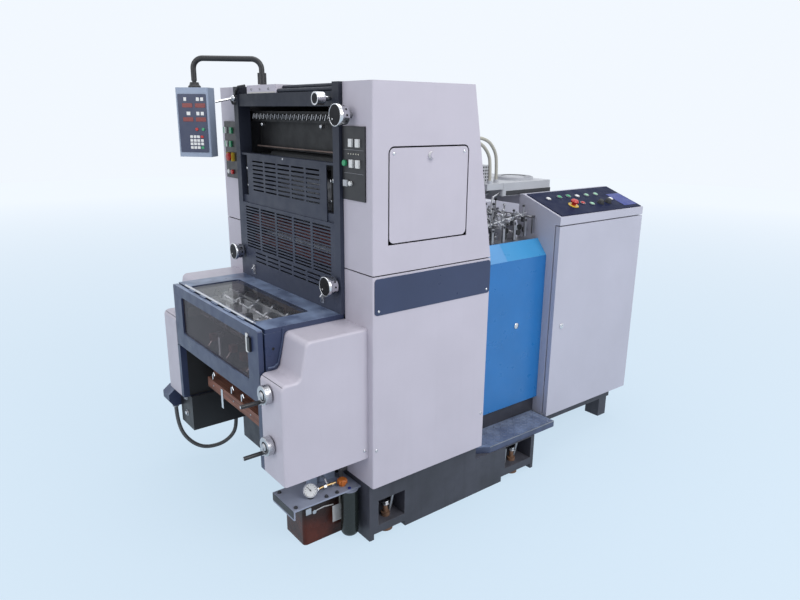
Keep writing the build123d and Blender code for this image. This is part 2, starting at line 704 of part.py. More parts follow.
def dial(yz):
    """Capstan dial with a rim, a blind bore and radial holes."""
    back = GUARD_FRONT - DIAL_STAND_OFF
    body = rod((back, *yz), (-1, 0, 0), DIAL_BODY_R, DIAL_LENGTH)
    body += rod((back - DIAL_LENGTH + DIAL_RIM, *yz), (-1, 0, 0), DIAL_R, DIAL_RIM)
    body -= rod((back, *yz), (-1, 0, 0), SPINDLE_R + SPINDLE_CLEAR, DIAL_LENGTH - DIAL_CAP)
    middle = back - (DIAL_LENGTH - DIAL_RIM) / 2
    for i in range(DIAL_HOLES):
        angle = 2 * math.pi * i / DIAL_HOLES
        out = (0, math.cos(angle), math.sin(angle))
        reach = DIAL_BODY_R - DIAL_HOLE_DEPTH
        start = (middle, yz[0] + reach * out[1], yz[1] + reach * out[2])
        body -= rod(start, out, DIAL_HOLE_R, 2 * DIAL_HOLE_DEPTH)
    return body


def guard_levers():
    """Lever on the drive side post and the trip knob on its stem at the beam."""
    lever = rod((GUARD_FRONT, *LEVER_YZ), (-1, 0, 0), LEVER_HUB_R, LEVER_HUB_L)
    lever += rod((GUARD_FRONT - LEVER_HUB_L / 2, *LEVER_YZ), LEVER_RUN, LEVER_R, LEVER_LENGTH)
    trip = rod((BRACKET_X[0], *TRIP_YZ), (-1, 0, 0), TRIP_STEM_R, TRIP_STEM_L)
    trip += rod((BRACKET_X[0] - TRIP_STEM_L, *TRIP_YZ), (-1, 0, 0), TRIP_R, TRIP_LENGTH)
    return lever, trip


def cylinder_set(centres, radius, shaft):
    """Cylinders with journals that reach the side frames."""
    pieces = []
    for x, z in centres:
        piece = rod((x, -CYLINDER_HALF, z), (0, 1, 0), radius, 2 * CYLINDER_HALF)
        pieces.append(piece + rod((x, -FRAME_INNER, z), (0, 1, 0), shaft, 2 * FRAME_INNER))
    return pieces


def ink_key_bar():
    """Ink fountain bar between the frames with its row of key screws."""
    bar = block(KEY_BAR_X, (-FRAME_INNER, FRAME_INNER), KEY_BAR_Z)
    middle = (KEY_BAR_Z[0] + KEY_BAR_Z[1]) / 2
    for i in range(KEY_COUNT):
        y = (i - (KEY_COUNT - 1) / 2) * KEY_PITCH
        bar += rod((KEY_BAR_X[0], y, middle), (-1, 0, 0), KEY_R, KEY_LENGTH)
    return bar


def top_cover():
    """Cover over the ink fountain."""
    x = (KEY_BAR_X[1], UNIT_TOP_REAR - SHEET)
    return block(x, (-COVER_INNER, COVER_INNER), (UNIT_HEIGHT - TOP_COVER_THICK, UNIT_HEIGHT))


def rear_guard():
    """Sloping rear guard between the side covers, with the air hose stubs."""
    slope = (UNIT_REAR - UNIT_TOP_REAR) / (UNIT_HEIGHT - KNEE_Z)
    top = UNIT_HEIGHT - TOP_COVER_THICK
    rear_top = UNIT_REAR - slope * (top - KNEE_Z)
    wall = 2 * SHEET
    outline = [(UNIT_REAR, KNEE_Z), (rear_top, top), (rear_top - wall, top), (UNIT_REAR - wall, KNEE_Z)]
    guard = prism_y(outline, (-COVER_INNER, COVER_INNER))
    for y, z in zip(AIR_HOSE_Y, AIR_HOSE_Z):
        x = UNIT_REAR - slope * (z - KNEE_Z)
        stub = rod((x - wall / 2, y, z), (1, 0, 0), STUB_R, air_stub_x() - x + wall / 2)
        guard += stub
    return guard


def air_stub_x():
    """Face of the air hose stubs behind the unit."""
    slope = (UNIT_REAR - UNIT_TOP_REAR) / (UNIT_HEIGHT - KNEE_Z)
    return UNIT_REAR - slope * (min(AIR_HOSE_Z) - KNEE_Z) + 2 * STUB_H


def switch_plate():
    """Button plate on the operator side of the unit front."""
    return block((UNIT_FRONT - SWITCH_THICK, UNIT_FRONT), SWITCH_Y, SWITCH_Z)


def arm_bracket():
    """Bracket on the beam with the stub that the arm swings on."""
    bracket = block(BRACKET_X, BRACKET_Y, BRACKET_Z)
    return bracket + rod((*ARM_BASE, BRACKET_Z[1]), (0, 0, 1), ARM_STUB_R, ARM_STUB_H)


def console_arm():
    """Bent arm tube with a socket at the stub and a spigot for the console."""
    socket_z = BRACKET_Z[1] + MOVE_GAP
    end_z = CONSOLE_Z[1] + CONSOLE_COLLAR_H + MOVE_GAP
    points = [
        (*ARM_BASE, socket_z + ARM_SOCKET_H - 1),
        (*ARM_BASE, ARM_TOP_Z),
        (*ARM_END, ARM_TOP_Z),
        (*ARM_END, end_z),
    ]
    path = FilletPolyline(*points, radius=ARM_BEND)
    arm = sweep(Plane(origin=path @ 0, z_dir=path % 0) * Circle(ARM_R), path=path)
    socket = rod((*ARM_BASE, socket_z), (0, 0, 1), ARM_SOCKET_R, ARM_SOCKET_H)
    bore = rod((*ARM_BASE, socket_z), (0, 0, 1), ARM_STUB_R + SPINDLE_CLEAR, ARM_STUB_H)
    arm = arm + socket - bore
    spigot = end_z - CONSOLE_Z[1] - 2
    return arm + rod((*ARM_END, end_z), (0, 0, -1), ARM_STUB_R, spigot)


def console_place():
    """Middle of the console under the end of the arm, turned to the operator."""
    return Pos(*ARM_END, 0) * Rot(0, 0, CONSOLE_TURN)


def console_box():
    """Console housing with the collar that turns on the spigot."""
    half = (-CONSOLE_WIDTH / 2, CONSOLE_WIDTH / 2)
    deep = (-CONSOLE_DEPTH / 2, CONSOLE_DEPTH / 2)
    body = block(half, deep, CONSOLE_Z)
    body = fillet(body.edges().filter_by(Axis.Z), CONSOLE_CORNER)
    body += rod((0, 0, CONSOLE_Z[1]), (0, 0, 1), CONSOLE_COLLAR_R, CONSOLE_COLLAR_H)
    body -= rod((0, 0, CONSOLE_Z[1]), (0, 0, 1), ARM_STUB_R + SPINDLE_CLEAR, CONSOLE_COLLAR_H)
    return console_place() * body


def console_face():
    """Face plate of the console."""
    x = (-CONSOLE_WIDTH / 2 + CONSOLE_FACE_SIDE, CONSOLE_WIDTH / 2 - CONSOLE_FACE_SIDE)
    y = (-CONSOLE_DEPTH / 2 - CONSOLE_FACE_THICK, -CONSOLE_DEPTH / 2)
    z = (CONSOLE_Z[0] + CONSOLE_FACE_EDGE[0], CONSOLE_Z[1] - CONSOLE_FACE_EDGE[1])
    return console_place() * plate_y(x, z, y, CONSOLE_CORNER / 2)


def side_cover_outline(inset, top):
    """Stepped outline of a delivery side cover."""
    slope = SIDE_COVER_SLOPE_X
    return [
        (UNIT_FRONT, DELIVERY_BOTTOM + inset),
        (DELIVERY_FRONT + inset, DELIVERY_BOTTOM + inset),
        (DELIVERY_FRONT + inset, SIDE_COVER_STEP - inset),
        (slope[0] + inset, SIDE_COVER_STEP - inset),
        (slope[1] + inset, top - inset),
        (UNIT_FRONT, top - inset),
    ]


def delivery_cover(top):
    """Delivery side cover up to a height: a stepped hollow tray with soft edges, operator side."""
    y = (-SIDE_COVER_Y[1], -SIDE_COVER_Y[0])
    shell = prism_y(side_cover_outline(0, top), y)
    across = shell.edges().filter_by(Axis.Y)
    corners = [e for e in across if e.center().X < UNIT_FRONT - 1 and e.center().Z > DELIVERY_BOTTOM + 1]
    shell = fillet(corners, SIDE_COVER_CORNER)
    rim = shell.edges().group_by(Axis.Y)[0]
    soft = [e for e in rim if e.center().Z > DELIVERY_BOTTOM + 1 and e.center().X < UNIT_FRONT - 1]
    shell = fillet(soft, SIDE_COVER_EDGE)
    wall = 2 * SHEET
    return shell - prism_y(side_cover_outline(wall, top), (y[0] + wall, y[1]))


def delivery_plate():
    """Inner side plate of the delivery, cut away behind the front cover, operator side."""
    y = (-SIDE_COVER_Y[0], -SIDE_PLATE_INNER)
    z = (DELIVERY_BOTTOM, DELIVERY_TOP - TOP_FRAME_THICK)
    cover_rear = DELIVERY_FRONT + FRONT_COVER_THICK + DOOR_GAP
    plate = block((DELIVERY_FRONT, UNIT_FRONT), y, z)
    return plate - block((DELIVERY_FRONT, cover_rear), y, (FRONT_COVER_Z[0] - DOOR_GAP, z[1]))


def delivery_underframe():
    """Dark leg under the drive side and the back plate of the pile space."""
    leg = block(LEG_X, LEG_Y, LEG_Z)
    leg += rod((*HOSE_END, LEG_Z[0]), (0, 0, -1), GLAND_R, GLAND_H)
    back = (UNIT_FRONT - BACK_PLATE_THICK, UNIT_FRONT)
    plate_z = (BACK_PLATE_Z[0], BACK_PLATE_Z[1] - TOP_FRAME_THICK)
    plate = block(back, (-SIDE_PLATE_INNER, SIDE_PLATE_INNER), plate_z)
    return plate - block(LEG_X, LEG_Y, LEG_Z), leg


def top_frame():
    """Top frame of the delivery round the top window."""
    z = (DELIVERY_TOP - TOP_FRAME_THICK, DELIVERY_TOP)
    frame = block((TOP_FRAME_FRONT, UNIT_FRONT), (-SIDE_COVER_Y[0], SIDE_COVER_Y[0]), z)
    return frame - top_window_solid(TOP_FRAME_THICK, DELIVERY_TOP - TOP_FRAME_THICK)


def top_window_solid(thick, low):
    """Window outline of the delivery top at a height."""
    pane = block(TOP_WINDOW_X, (-TOP_WINDOW_HALF, TOP_WINDOW_HALF), (low, low + thick))
    return fillet(pane.edges().filter_by(Axis.Z), WINDOW_CORNER)


def front_window_solid(x):
    """Window outline of the front cover between two planes."""
    return plate_x((-FRONT_WINDOW_HALF, FRONT_WINDOW_HALF), FRONT_WINDOW_Z, x, WINDOW_CORNER)


def barrel_axis():
    """Axis of the piano hinge on the front edge of the delivery top."""
    return (TOP_FRAME_FRONT - BARREL_R / 2, DELIVERY_TOP + BARREL_R)


def barrel_spans(start):
    """Every other knuckle of the piano hinge."""
    pitch = 2 * BARREL_HALF / BARREL_KNUCKLES
    for i in range(start, BARREL_KNUCKLES, 2):
        yield (-BARREL_HALF + i * pitch + BARREL_GAP, -BARREL_HALF + (i + 1) * pitch - BARREL_GAP)


def delivery_hinge():
    """Fixed half of the piano hinge: pin, knuckles and the leaf on the top frame."""
    x, z = barrel_axis()
    hinge = rod((x, -BARREL_HALF, z), (0, 1, 0), BARREL_PIN_R, 2 * BARREL_HALF)
    for y in barrel_spans(0):
        hinge += rod((x, y[0], z), (0, 1, 0), BARREL_R, y[1] - y[0])
        hinge += block((x, TOP_FRAME_FRONT + 8), y, (DELIVERY_TOP, DELIVERY_TOP + LEAF_THICK))
    return hinge


def front_cover():
    """Hinged front cover with its window opening and knuckles."""
    x = (DELIVERY_FRONT, DELIVERY_FRONT + FRONT_COVER_THICK)
    cover = block(x, (-FRONT_COVER_HALF, FRONT_COVER_HALF), FRONT_COVER_Z)
    outer = cover.edges().filter_by(Axis.X)
    cover = fillet(outer, WINDOW_CORNER / 2)
    cover -= front_window_solid(x)
    ax, az = barrel_axis()
    leaf_z = (FRONT_COVER_Z[1] - 4 * LEAF_THICK, az)
    for y in barrel_spans(1):
        knuckle = rod((ax, y[0], az), (0, 1, 0), BARREL_R, y[1] - y[0])
        knuckle += block((x[0] + LEAF_WIDTH, ax), y, (az - BARREL_R, az - BARREL_R + LEAF_THICK))
        knuckle += block((x[0] + LEAF_WIDTH, x[1]), y, (leaf_z[0], az - BARREL_R + LEAF_THICK))
        cover += knuckle - rod((ax, y[0], az), (0, 1, 0), BARREL_PIN_R + BARREL_PIN_CLEAR, y[1] - y[0])
    return cover


def front_window():
    """Clear pane set in the front cover."""
    middle = DELIVERY_FRONT + FRONT_COVER_THICK / 2
    return front_window_solid((middle - WINDOW_THICK / 2, middle + WINDOW_THICK / 2))


def delivery_shafts():
    """Cross shafts with discs inside the delivery."""
    pieces = []
    for x, z in SHAFT_CENTRES:
        shaft = rod((x, -SIDE_PLATE_INNER, z), (0, 1, 0), SHAFT_R, 2 * SIDE_PLATE_INNER)
        for y in SHAFT_DISC_Y:
            shaft += rod((x, y - SHAFT_DISC_W / 2, z), (0, 1, 0), SHAFT_DISC_R, SHAFT_DISC_W)
        pieces.append(shaft)
    return pieces


def guide_x():
    """Place of the pile guides along the delivery."""
    return (PILE_EAR_X[0] + PILE_EAR_X[1]) / 2


def pile_guide():
    """Upright guide rod of the pile board with its two end blocks, operator side."""
    x = (guide_x() - GUIDE_BLOCK, guide_x() + GUIDE_BLOCK)
    y = (-SIDE_PLATE_INNER, -GUIDE_Y + GUIDE_R + 4)
    guide = rod((guide_x(), -GUIDE_Y, GUIDE_Z[0]), (0, 0, 1), GUIDE_R, GUIDE_Z[1] - GUIDE_Z[0])
    guide += block(x, y, (GUIDE_Z[0], GUIDE_Z[0] + GUIDE_BLOCK))
    guide += block(x, y, (GUIDE_Z[1] - GUIDE_BLOCK, GUIDE_Z[1]))
    return guide


def delivery_pile_board():
    """Delivery pile board with an ear on each guide rod."""
    board = block(PILE_BOARD_X, (-PILE_BOARD_HALF, PILE_BOARD_HALF), PILE_BOARD_Z)
    board += block(PILE_EAR_X, (-PILE_EAR_HALF, PILE_EAR_HALF), PILE_BOARD_Z)
    for side in (-1, 1):
        start = (guide_x(), side * GUIDE_Y, PILE_BOARD_Z[0])
        board -= rod(start, (0, 0, 1), GUIDE_R + GUIDE_CLEAR, PILE_BOARD_Z[1] - PILE_BOARD_Z[0])
    return board


def crank_spindle(z):
    """Fixed spindle that a crank turns on, on the front of the delivery cover."""
    length = MOVE_GAP + CRANK_HUB_L - CRANK_ARM_T
    return rod((DELIVERY_FRONT, CRANK_Y, z), (-1, 0, 0), CRANK_SPINDLE_R, length)


def crank_hub(z):
    """Crank hub with its arm and a blind bore."""
    back = DELIVERY_FRONT - MOVE_GAP
    hub = rod((back, CRANK_Y, z), (-1, 0, 0), CRANK_HUB_R, CRANK_HUB_L)
    reach = math.hypot(*CRANK_ARM)
    turn = math.degrees(math.atan2(CRANK_ARM[1], CRANK_ARM[0]))
    front = back - CRANK_HUB_L
    arm = block((front, front + CRANK_ARM_T), (0, reach), (-CRANK_ARM_W / 2, CRANK_ARM_W / 2))
    arm += rod((front, reach, 0), (1, 0, 0), CRANK_ARM_W / 2, CRANK_ARM_T)
    hub += Pos(0, CRANK_Y, z) * Rot(turn, 0, 0) * arm
    depth = CRANK_HUB_L - CRANK_ARM_T + 1
    return hub - rod((back, CRANK_Y, z), (-1, 0, 0), CRANK_SPINDLE_R + SPINDLE_CLEAR, depth)


def crank_handle(z):
    """Round grip on the crank arm."""
    front = DELIVERY_FRONT - MOVE_GAP - CRANK_HUB_L
    grip = rod((front, CRANK_Y + CRANK_ARM[0], z + CRANK_ARM[1]), (-1, 0, 0), HANDLE_R, HANDLE_LENGTH)
    tip = grip.edges().filter_by(GeomType.CIRCLE).sort_by(Axis.X)[0]
    return fillet(tip, HANDLE_R / 2)


def conduit_box():
    """Junction box under the drive side delivery cover with its hose gland."""
    box = prism_y(CONDUIT_OUTLINE, CONDUIT_Y)
    return box + rod((*HOSE_START, CONDUIT_OUTLINE[-1][1]), (0, 0, -1), GLAND_R, GLAND_H)


def hose_points():
    """Route of the conduit hose from the box's gland to the leg's gland."""
    start = (*HOSE_START, CONDUIT_OUTLINE[-1][1] - GLAND_H)
    return [start, *HOSE_BENDS, (*HOSE_END, LEG_Z[0] - GLAND_H)]


def fluid_tank():
    """Translucent fluid tank on the floor under the shelf."""
    tank = block(TANK_X, TANK_Y, (0, SHELF_Z[0]))
    return fillet(tank.edges().filter_by(Axis.Z), TANK_CORNER)


def tank_shelf():
    """Shelf plate on the base with a bent down end and a round pump body under it."""
    shelf = block(SHELF_X, SHELF_Y, SHELF_Z)
    end = (SHELF_X[0], SHELF_X[0] + SHELF_Z[1] - SHELF_Z[0])
    shelf += block(end, SHELF_Y, (SHELF_Z[0] - SHELF_FLANGE, SHELF_Z[0]))
    pump = rod((*PUMP_XY, PUMP_BOTTOM), (0, 0, 1), PUMP_R, SHELF_Z[0] - PUMP_BOTTOM)
    return shelf + fillet(pump.edges().sort_by(Axis.Z)[0], PUMP_ROUND)


def pressure_gauge():
    """Round gauge on a stem, tilted to the operator."""
    stem_top = SHELF_Z[1] + GAUGE_STEM_H
    gauge = rod((*GAUGE_XY, SHELF_Z[1]), (0, 0, 1), GAUGE_STEM_R, GAUGE_STEM_H)
    start = (GAUGE_XY[0], GAUGE_XY[1], stem_top + GAUGE_R * 0.4)
    return gauge + Plane(origin=start, z_dir=(-0.5, -0.6, 0.6)) * Cylinder(GAUGE_R, GAUGE_THICK)


def feedboard_cover():
    """Blue side cover of the feedboard with a sloping top, operator side."""
    outline = [(-BLUE_Y[1], BLUE_Z[0]), (-BLUE_Y[1], BLUE_Z[1]), (-BLUE_SLOPE_Y, BLUE_TOP)]
    outline += [(-BLUE_Y[0], BLUE_TOP), (-BLUE_Y[0], BLUE_Z[0])]
    return prism_x(outline, (UNIT_REAR, CABINET_X[0]))


def feed_board():
    """Sloping feedboard between the blue covers."""
    outline = [(FEED_X[0], FEED_Z[0]), (FEED_X[1], FEED_Z[1]), (FEED_X[1], FEED_Z[1] + FEED_THICK)]
    outline += [(FEED_X[0], FEED_Z[0] + FEED_THICK)]
    return prism_y(outline, (-BLUE_Y[0], BLUE_Y[0]))


def feed_surface(x):
    """Height of the feedboard's upper face."""
    share = (x - FEED_X[0]) / (FEED_X[1] - FEED_X[0])
    return FEED_Z[0] + FEED_THICK + share * (FEED_Z[1] - FEED_Z[0])


def feed_shafts():
    """Rails on the feedboard carrying cross shafts with hold-down wheels."""
    rails = None
    for y in (-FEED_RAIL_Y, FEED_RAIL_Y):
        outline = [(x, feed_surface(x)) for x in FEED_X]
        outline += [(x, feed_surface(x) + FEED_RAIL_H) for x in reversed(FEED_X)]
        rail = prism_y(outline, (y - FEED_RAIL_W / 2, y + FEED_RAIL_W / 2))
        rails = rail if rails is None else rails + rail
    for x in FEED_SHAFT_X:
        z = feed_surface(x) + FEED_RAIL_H / 2
        rails += rod((x, -FEED_RAIL_Y - 40, z), (0, 1, 0), SHAFT_R, 2 * FEED_RAIL_Y + 80)
        for y in FEED_WHEEL_Y:
            rails += rod((x, y - FEED_WHEEL_W / 2, z), (0, 1, 0), FEED_WHEEL_R, FEED_WHEEL_W)
    return rails


def feeder_base():
    """Dark rail behind the base with a riser and a foot under the far end, operator side."""
    y = (-RAIL_Y[1], -RAIL_Y[0])
    rail = block((BASE_REAR, CABINET_X[1]), y, RAIL_Z)
    rail += block((BASE_REAR, CABINET_X[0]), y, (RAIL_Z[1], BLUE_BOTTOM))
    return rail + block(RAIL_FOOT_X, y, (0, RAIL_Z[0]))


def cabinet_outline(inset):
    """Side outline of the control cabinet with its sloping top and the lip over the door."""
    return [
        (CABINET_FACE + inset, CABINET_BOTTOM + inset),
        (CABINET_Y[1] - inset, CABINET_BOTTOM + inset),
        (CABINET_Y[1] - inset, CABINET_BACK_TOP - inset),
        (CABINET_Y[1] - CABINET_RIM, CABINET_BACK_TOP - inset),
        (CABINET_Y[0] + inset, CABINET_FRONT_TOP - inset),
        (CABINET_Y[0] + inset, CABINET_LIP_Z + inset),
        (CABINET_FACE + inset, CABINET_LIP_Z + inset),
    ]


def cabinet_hinge_places():
    """Hinge axes of the cabinet door beside its far edge."""
    x = CABINET_X[1] + STRAP_OFFSET
    height = CABINET_DOOR_Z[1] - CABINET_DOOR_Z[0]
    return [Pos(x, CABINET_FACE, CABINET_DOOR_Z[0] + height * share) for share in (0.15, 0.85)]


def strap_knuckle(place):
    """Moving knuckle with its strap on the side of the cabinet door."""
    half = KNUCKLE_LENGTH / 2
    body = Cylinder(KNUCKLE_R, KNUCKLE_LENGTH)
    body += block((-STRAP_OFFSET, 0), (-STRAP_REACH, -STRAP_CLEAR), (-half, half))
    return place * (body - Cylinder(PIN_R + PIN_CLEAR, KNUCKLE_LENGTH))


def strap_lugs(place):
    """Fixed pin with a strap at each end on the side of the cabinet."""
    half = KNUCKLE_LENGTH / 2 + LUG_CLEAR
    solid = Cylinder(PIN_R, 2 * (half + LUG_THICK))
    for low in (-half - LUG_THICK, half):
        solid += Pos(0, 0, low + LUG_THICK / 2) * Cylinder(KNUCKLE_R, LUG_THICK)
        solid += block((-STRAP_OFFSET, 0), (STRAP_CLEAR, STRAP_REACH), (low, low + LUG_THICK))
    return place * solid


def cabinet_shell():
    """Hollow control cabinet with the flanged door opening and hinge lugs."""
    shell = prism_x(cabinet_outline(0), CABINET_X)
    shell -= prism_x(cabinet_outline(SHEET), (CABINET_X[0] + SHEET, CABINET_X[1] - SHEET))
    x = (CABINET_X[0] + CABINET_FLANGE, CABINET_X[1] - CABINET_FLANGE)
    z = (CABINET_BOTTOM + CABINET_FLANGE, CABINET_LIP_Z - CABINET_FLANGE)
    shell -= block(x, (CABINET_FACE, CABINET_FACE + SHEET), z)
    for place in cabinet_hinge_places():
        shell += strap_lugs(place)
    return shell


def cabinet_door():
    """Cabinet door: a shallow tray over the whole front, with its knuckles."""
    y = (CABINET_Y[0], CABINET_Y[0] + CABINET_DOOR_THICK)
    door = block(CABINET_X, y, CABINET_DOOR_Z)
    x = (CABINET_X[0] + SHEET, CABINET_X[1] - SHEET)
    z = (CABINET_DOOR_Z[0] + SHEET, CABINET_DOOR_Z[1] - SHEET)
    door -= block(x, (y[0] + SHEET, y[1]), z)
    for place in cabinet_hinge_places():
        door += strap_knuckle(place)
    return door


def control_panel():
    """Sloping control panel on top of the cabinet."""
    front = Vector(0, CABINET_Y[0], CABINET_FRONT_TOP)
    back = Vector(0, CABINET_Y[1] - CABINET_RIM, CABINET_BACK_TOP)
    along = back - front
    middle = (front + back) * 0.5
    x = (CABINET_X[0] + CABINET_X[1]) / 2
    place = Plane(origin=(x, middle.Y, middle.Z), x_dir=(1, 0, 0), z_dir=(0, -along.Z, along.Y))
    width = CABINET_X[1] - CABINET_X[0] - 2 * CONTROL_INSET
    depth = along.length - CONTROL_INSET
    return place * Box(width, depth, CONTROL_THICK, align=(Align.CENTER, Align.CENTER, Align.MIN))


def feeder_housing():
    """Drive side housing of the feeder with a cut top edge."""
    y, c = HOUSING_Y, HOUSING_CHAMFER
    outline = [(y[0], CABINET_BOTTOM), (y[1], CABINET_BOTTOM), (y[1], HOUSING_TOP - c)]
    outline += [(y[1] - c, HOUSING_TOP), (y[0], HOUSING_TOP)]
    return prism_x(outline, CABINET_X)


def feeder_beam():
    """Cross beam that carries the feeder head, on a post of the drive side housing."""
    beam = block(BEAM_X, (CABINET_Y[1], HOUSING_Y[0] + BEAM_POST_Y[1]), FEED_BEAM_Z)
    post = (HOUSING_Y[0] + BEAM_POST_Y[0], HOUSING_Y[0] + BEAM_POST_Y[1])
    return beam + block(BEAM_X, post, (HOUSING_TOP, FEED_BEAM_Z[0]))


def feeder_head():
    """Suction head with a round cap and the hose manifold."""
    head = block(HEAD_X, (-HEAD_HALF, HEAD_HALF), HEAD_Z)
    head = fillet(head.edges().filter_by(Axis.Z), HEAD_CORNER)
    middle = ((HEAD_X[0] + HEAD_X[1]) / 2 + HEAD_CAP_SHIFT[0], HEAD_CAP_SHIFT[1], HEAD_Z[1])
    cap = rod(middle, (0, 0, 1), HEAD_CAP_R, HEAD_CAP_H)
    head += cap
    head += block(MANIFOLD_X, MANIFOLD_Y, (HEAD_Z[1] - MANIFOLD_FOOT, HEAD_Z[1]))
    rise_x = (MANIFOLD_X[0], MANIFOLD_X[0] + MANIFOLD_PLATE[0])
    rise_y = (MANIFOLD_Y[1] - MANIFOLD_PLATE[1], MANIFOLD_Y[1])
    head += block(rise_x, rise_y, (HEAD_Z[1], HEAD_Z[1] + MANIFOLD_RISE))
    for x, y in zip(AIR_HOSE_X, AIR_HOSE_Y):
        head += rod((x, y, HEAD_Z[1]), (0, 0, 1), STUB_R, STUB_H)
    return head


def feeder_pile_board():
    """Feeder pile board held by two arms on the drive side housing."""
    board = block(FEED_PILE_X, FEED_PILE_Y, FEED_PILE_Z)
    length = FEED_PILE_X[1] - FEED_PILE_X[0]
    for share in (0.25, 0.75):
        x = FEED_PILE_X[0] + length * share
        board += block((x - 20, x + 20), (FEED_PILE_Y[1], HOUSING_Y[0]), FEED_PILE_Z)
    return board


def air_hose_points(index):
    """Route of an air hose from the rear guard to the stubs of the feeder head."""
    y, x, z = AIR_HOSE_Y[index], AIR_HOSE_X[index], AIR_HOSE_Z[index]
    start = air_stub_x()
    low = HEAD_Z[1] + STUB_H
    run = x - start
    return [
        (start, y, z),
        (start + run * 0.24, y, z),
        (start + run * 0.50, y - AIR_HOSE_ARCH, z + AIR_HOSE_ARCH),
        (x - AIR_HOSE_BEND[0], y, z + AIR_HOSE_ARCH / 2),
        (x - AIR_HOSE_BEND[1], y, z - AIR_HOSE_FALL[0] * (z - low)),
        (x, y, z - AIR_HOSE_FALL[1] * (z - low)),
        (x, y, low),
    ]


os.makedirs("parts", exist_ok=True)

save("base_bed", base_bed())
jacks = [levelling_jack(pocket) for pocket in (FRONT_POCKET, REAR_POCKET)]
save("levelling_jacks", *jacks, *[other_side(jack) for jack in jacks])
save("footstep", footstep())
rail = feeder_base()
save("feeder_base", rail, other_side(rail))

frame = side_frame()
save("side_frames", frame, other_side(frame))
cover = side_cover()
save("upper_cover_operator", upper_cover_operator())
save("lower_cover_operator", cover_half(cover, BASE_HEIGHT, SEAM_OPERATOR - SEAM_GAP / 2))
drive_cover = other_side(cover)
drive_upper = cover_half(drive_cover, SEAM_DRIVE + SEAM_GAP / 2, UNIT_HEIGHT)
drive_lower = cover_half(drive_cover, BASE_HEIGHT, SEAM_DRIVE - SEAM_GAP / 2)
save("drive_covers", drive_upper, drive_lower)
save("hatch", hatch())
save("band_plate", band_plate())

save("guard_frame", guard_frame())
save("upper_guard", upper_guard())
save("lower_guard", lower_guard())
save("printing_cylinders", *cylinder_set(CYLINDER_CENTRES, CYLINDER_R, JOURNAL_R))
save("ink_rollers", *cylinder_set(ROLLER_CENTRES, ROLLER_R, ROLLER_SHAFT_R))
save("ink_key_bar", ink_key_bar())
save("top_cover", top_cover())
save("rear_guard", rear_guard())
switches = switch_plate()
save("switch_plates", switches, other_side(switches))
dial_faces = ((DIAL_UPPER, UNIT_FRONT), (DIAL_LOWER, GUARD_FRONT), (DIAL_DRIVE, GUARD_FRONT))
spindles = [spindle(place, face) for place, face in dial_faces]
save("spindles", *spindles, crank_spindle(CRANK_UPPER_Z), crank_spindle(CRANK_LOWER_Z))
save("dial_upper", dial(DIAL_UPPER))
save("dial_lower", dial(DIAL_LOWER))
save("dial_drive", dial(DIAL_DRIVE))
save("guard_levers", *guard_levers())

save("arm_bracket", arm_bracket())
save("console_arm", console_arm())
save("console_box", console_box())
save("console_face", console_face())

save("delivery_cover_operator", delivery_cover(SIDE_COVER_TOP))
save("delivery_cover_drive", other_side(delivery_cover(SIDE_COVER_TOP + DRIVE_COVER_RISE)))
plate = delivery_plate()
save("delivery_plates", plate, other_side(plate))
save("delivery_underframe", *delivery_underframe())
save("delivery_top_frame", top_frame())
save("delivery_top_window", top_window_solid(WINDOW_THICK, DELIVERY_TOP - TOP_FRAME_THICK / 2))
save("delivery_hinge", delivery_hinge())
save("front_cover", front_cover())
save("front_cover_window", front_window())
guide = pile_guide()
save("delivery_rods", *delivery_shafts(), guide, other_side(guide))
save("delivery_pile_board", delivery_pile_board())
save("crank_upper", crank_hub(CRANK_UPPER_Z))
save("crank_lower", crank_hub(CRANK_LOWER_Z))
save("crank_upper_handle", crank_handle(CRANK_UPPER_Z))
save("crank_lower_handle", crank_handle(CRANK_LOWER_Z))
save("conduit_box", conduit_box())
hose, bends, length = tube(hose_points(), HOSE_R)
print("conduit hose bend radii", [round(r, 1) for r in bends], "length", round(length, 1))
save("conduit_hose", hose)

save("fluid_tank", fluid_tank())
save("tank_shelf", tank_shelf())
cap = rod((*CAP_XY, SHELF_Z[1]), (0, 0, 1), CAP_R, CAP_H)
save("shelf_fittings", pressure_gauge(), cap)

blue = feedboard_cover()
save("feedboard_covers", blue, other_side(blue))
save("feed_board", feed_board())
save("feed_shafts", feed_shafts())
save("cabinet_shell", cabinet_shell())
save("cabinet_door", cabinet_door())
save("control_panel", control_panel())
save("feeder_housing", feeder_housing() + feeder_beam())
save("feeder_head", feeder_head())
save("feeder_pile_board", feeder_pile_board())
for index, name in enumerate(("air_hose_near", "air_hose_far")):
    hose, bends, length = tube(air_hose_points(index), AIR_HOSE_R)
    print(name, "bend radii", [round(r, 1) for r in bends], "length", round(length, 1))
    save(name, hose)
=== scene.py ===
"""Offset printing press: finishes, small parts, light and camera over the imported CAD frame.

Sizes in the classes are millimetres in the CAD frame: +X towards the feeder, -Y the operator side, +Z up.
"""
import logging
import math
from dataclasses import dataclass
from enum import Enum
from typing import Optional, Sequence

import bmesh
import bpy
from mathutils import Matrix, Vector


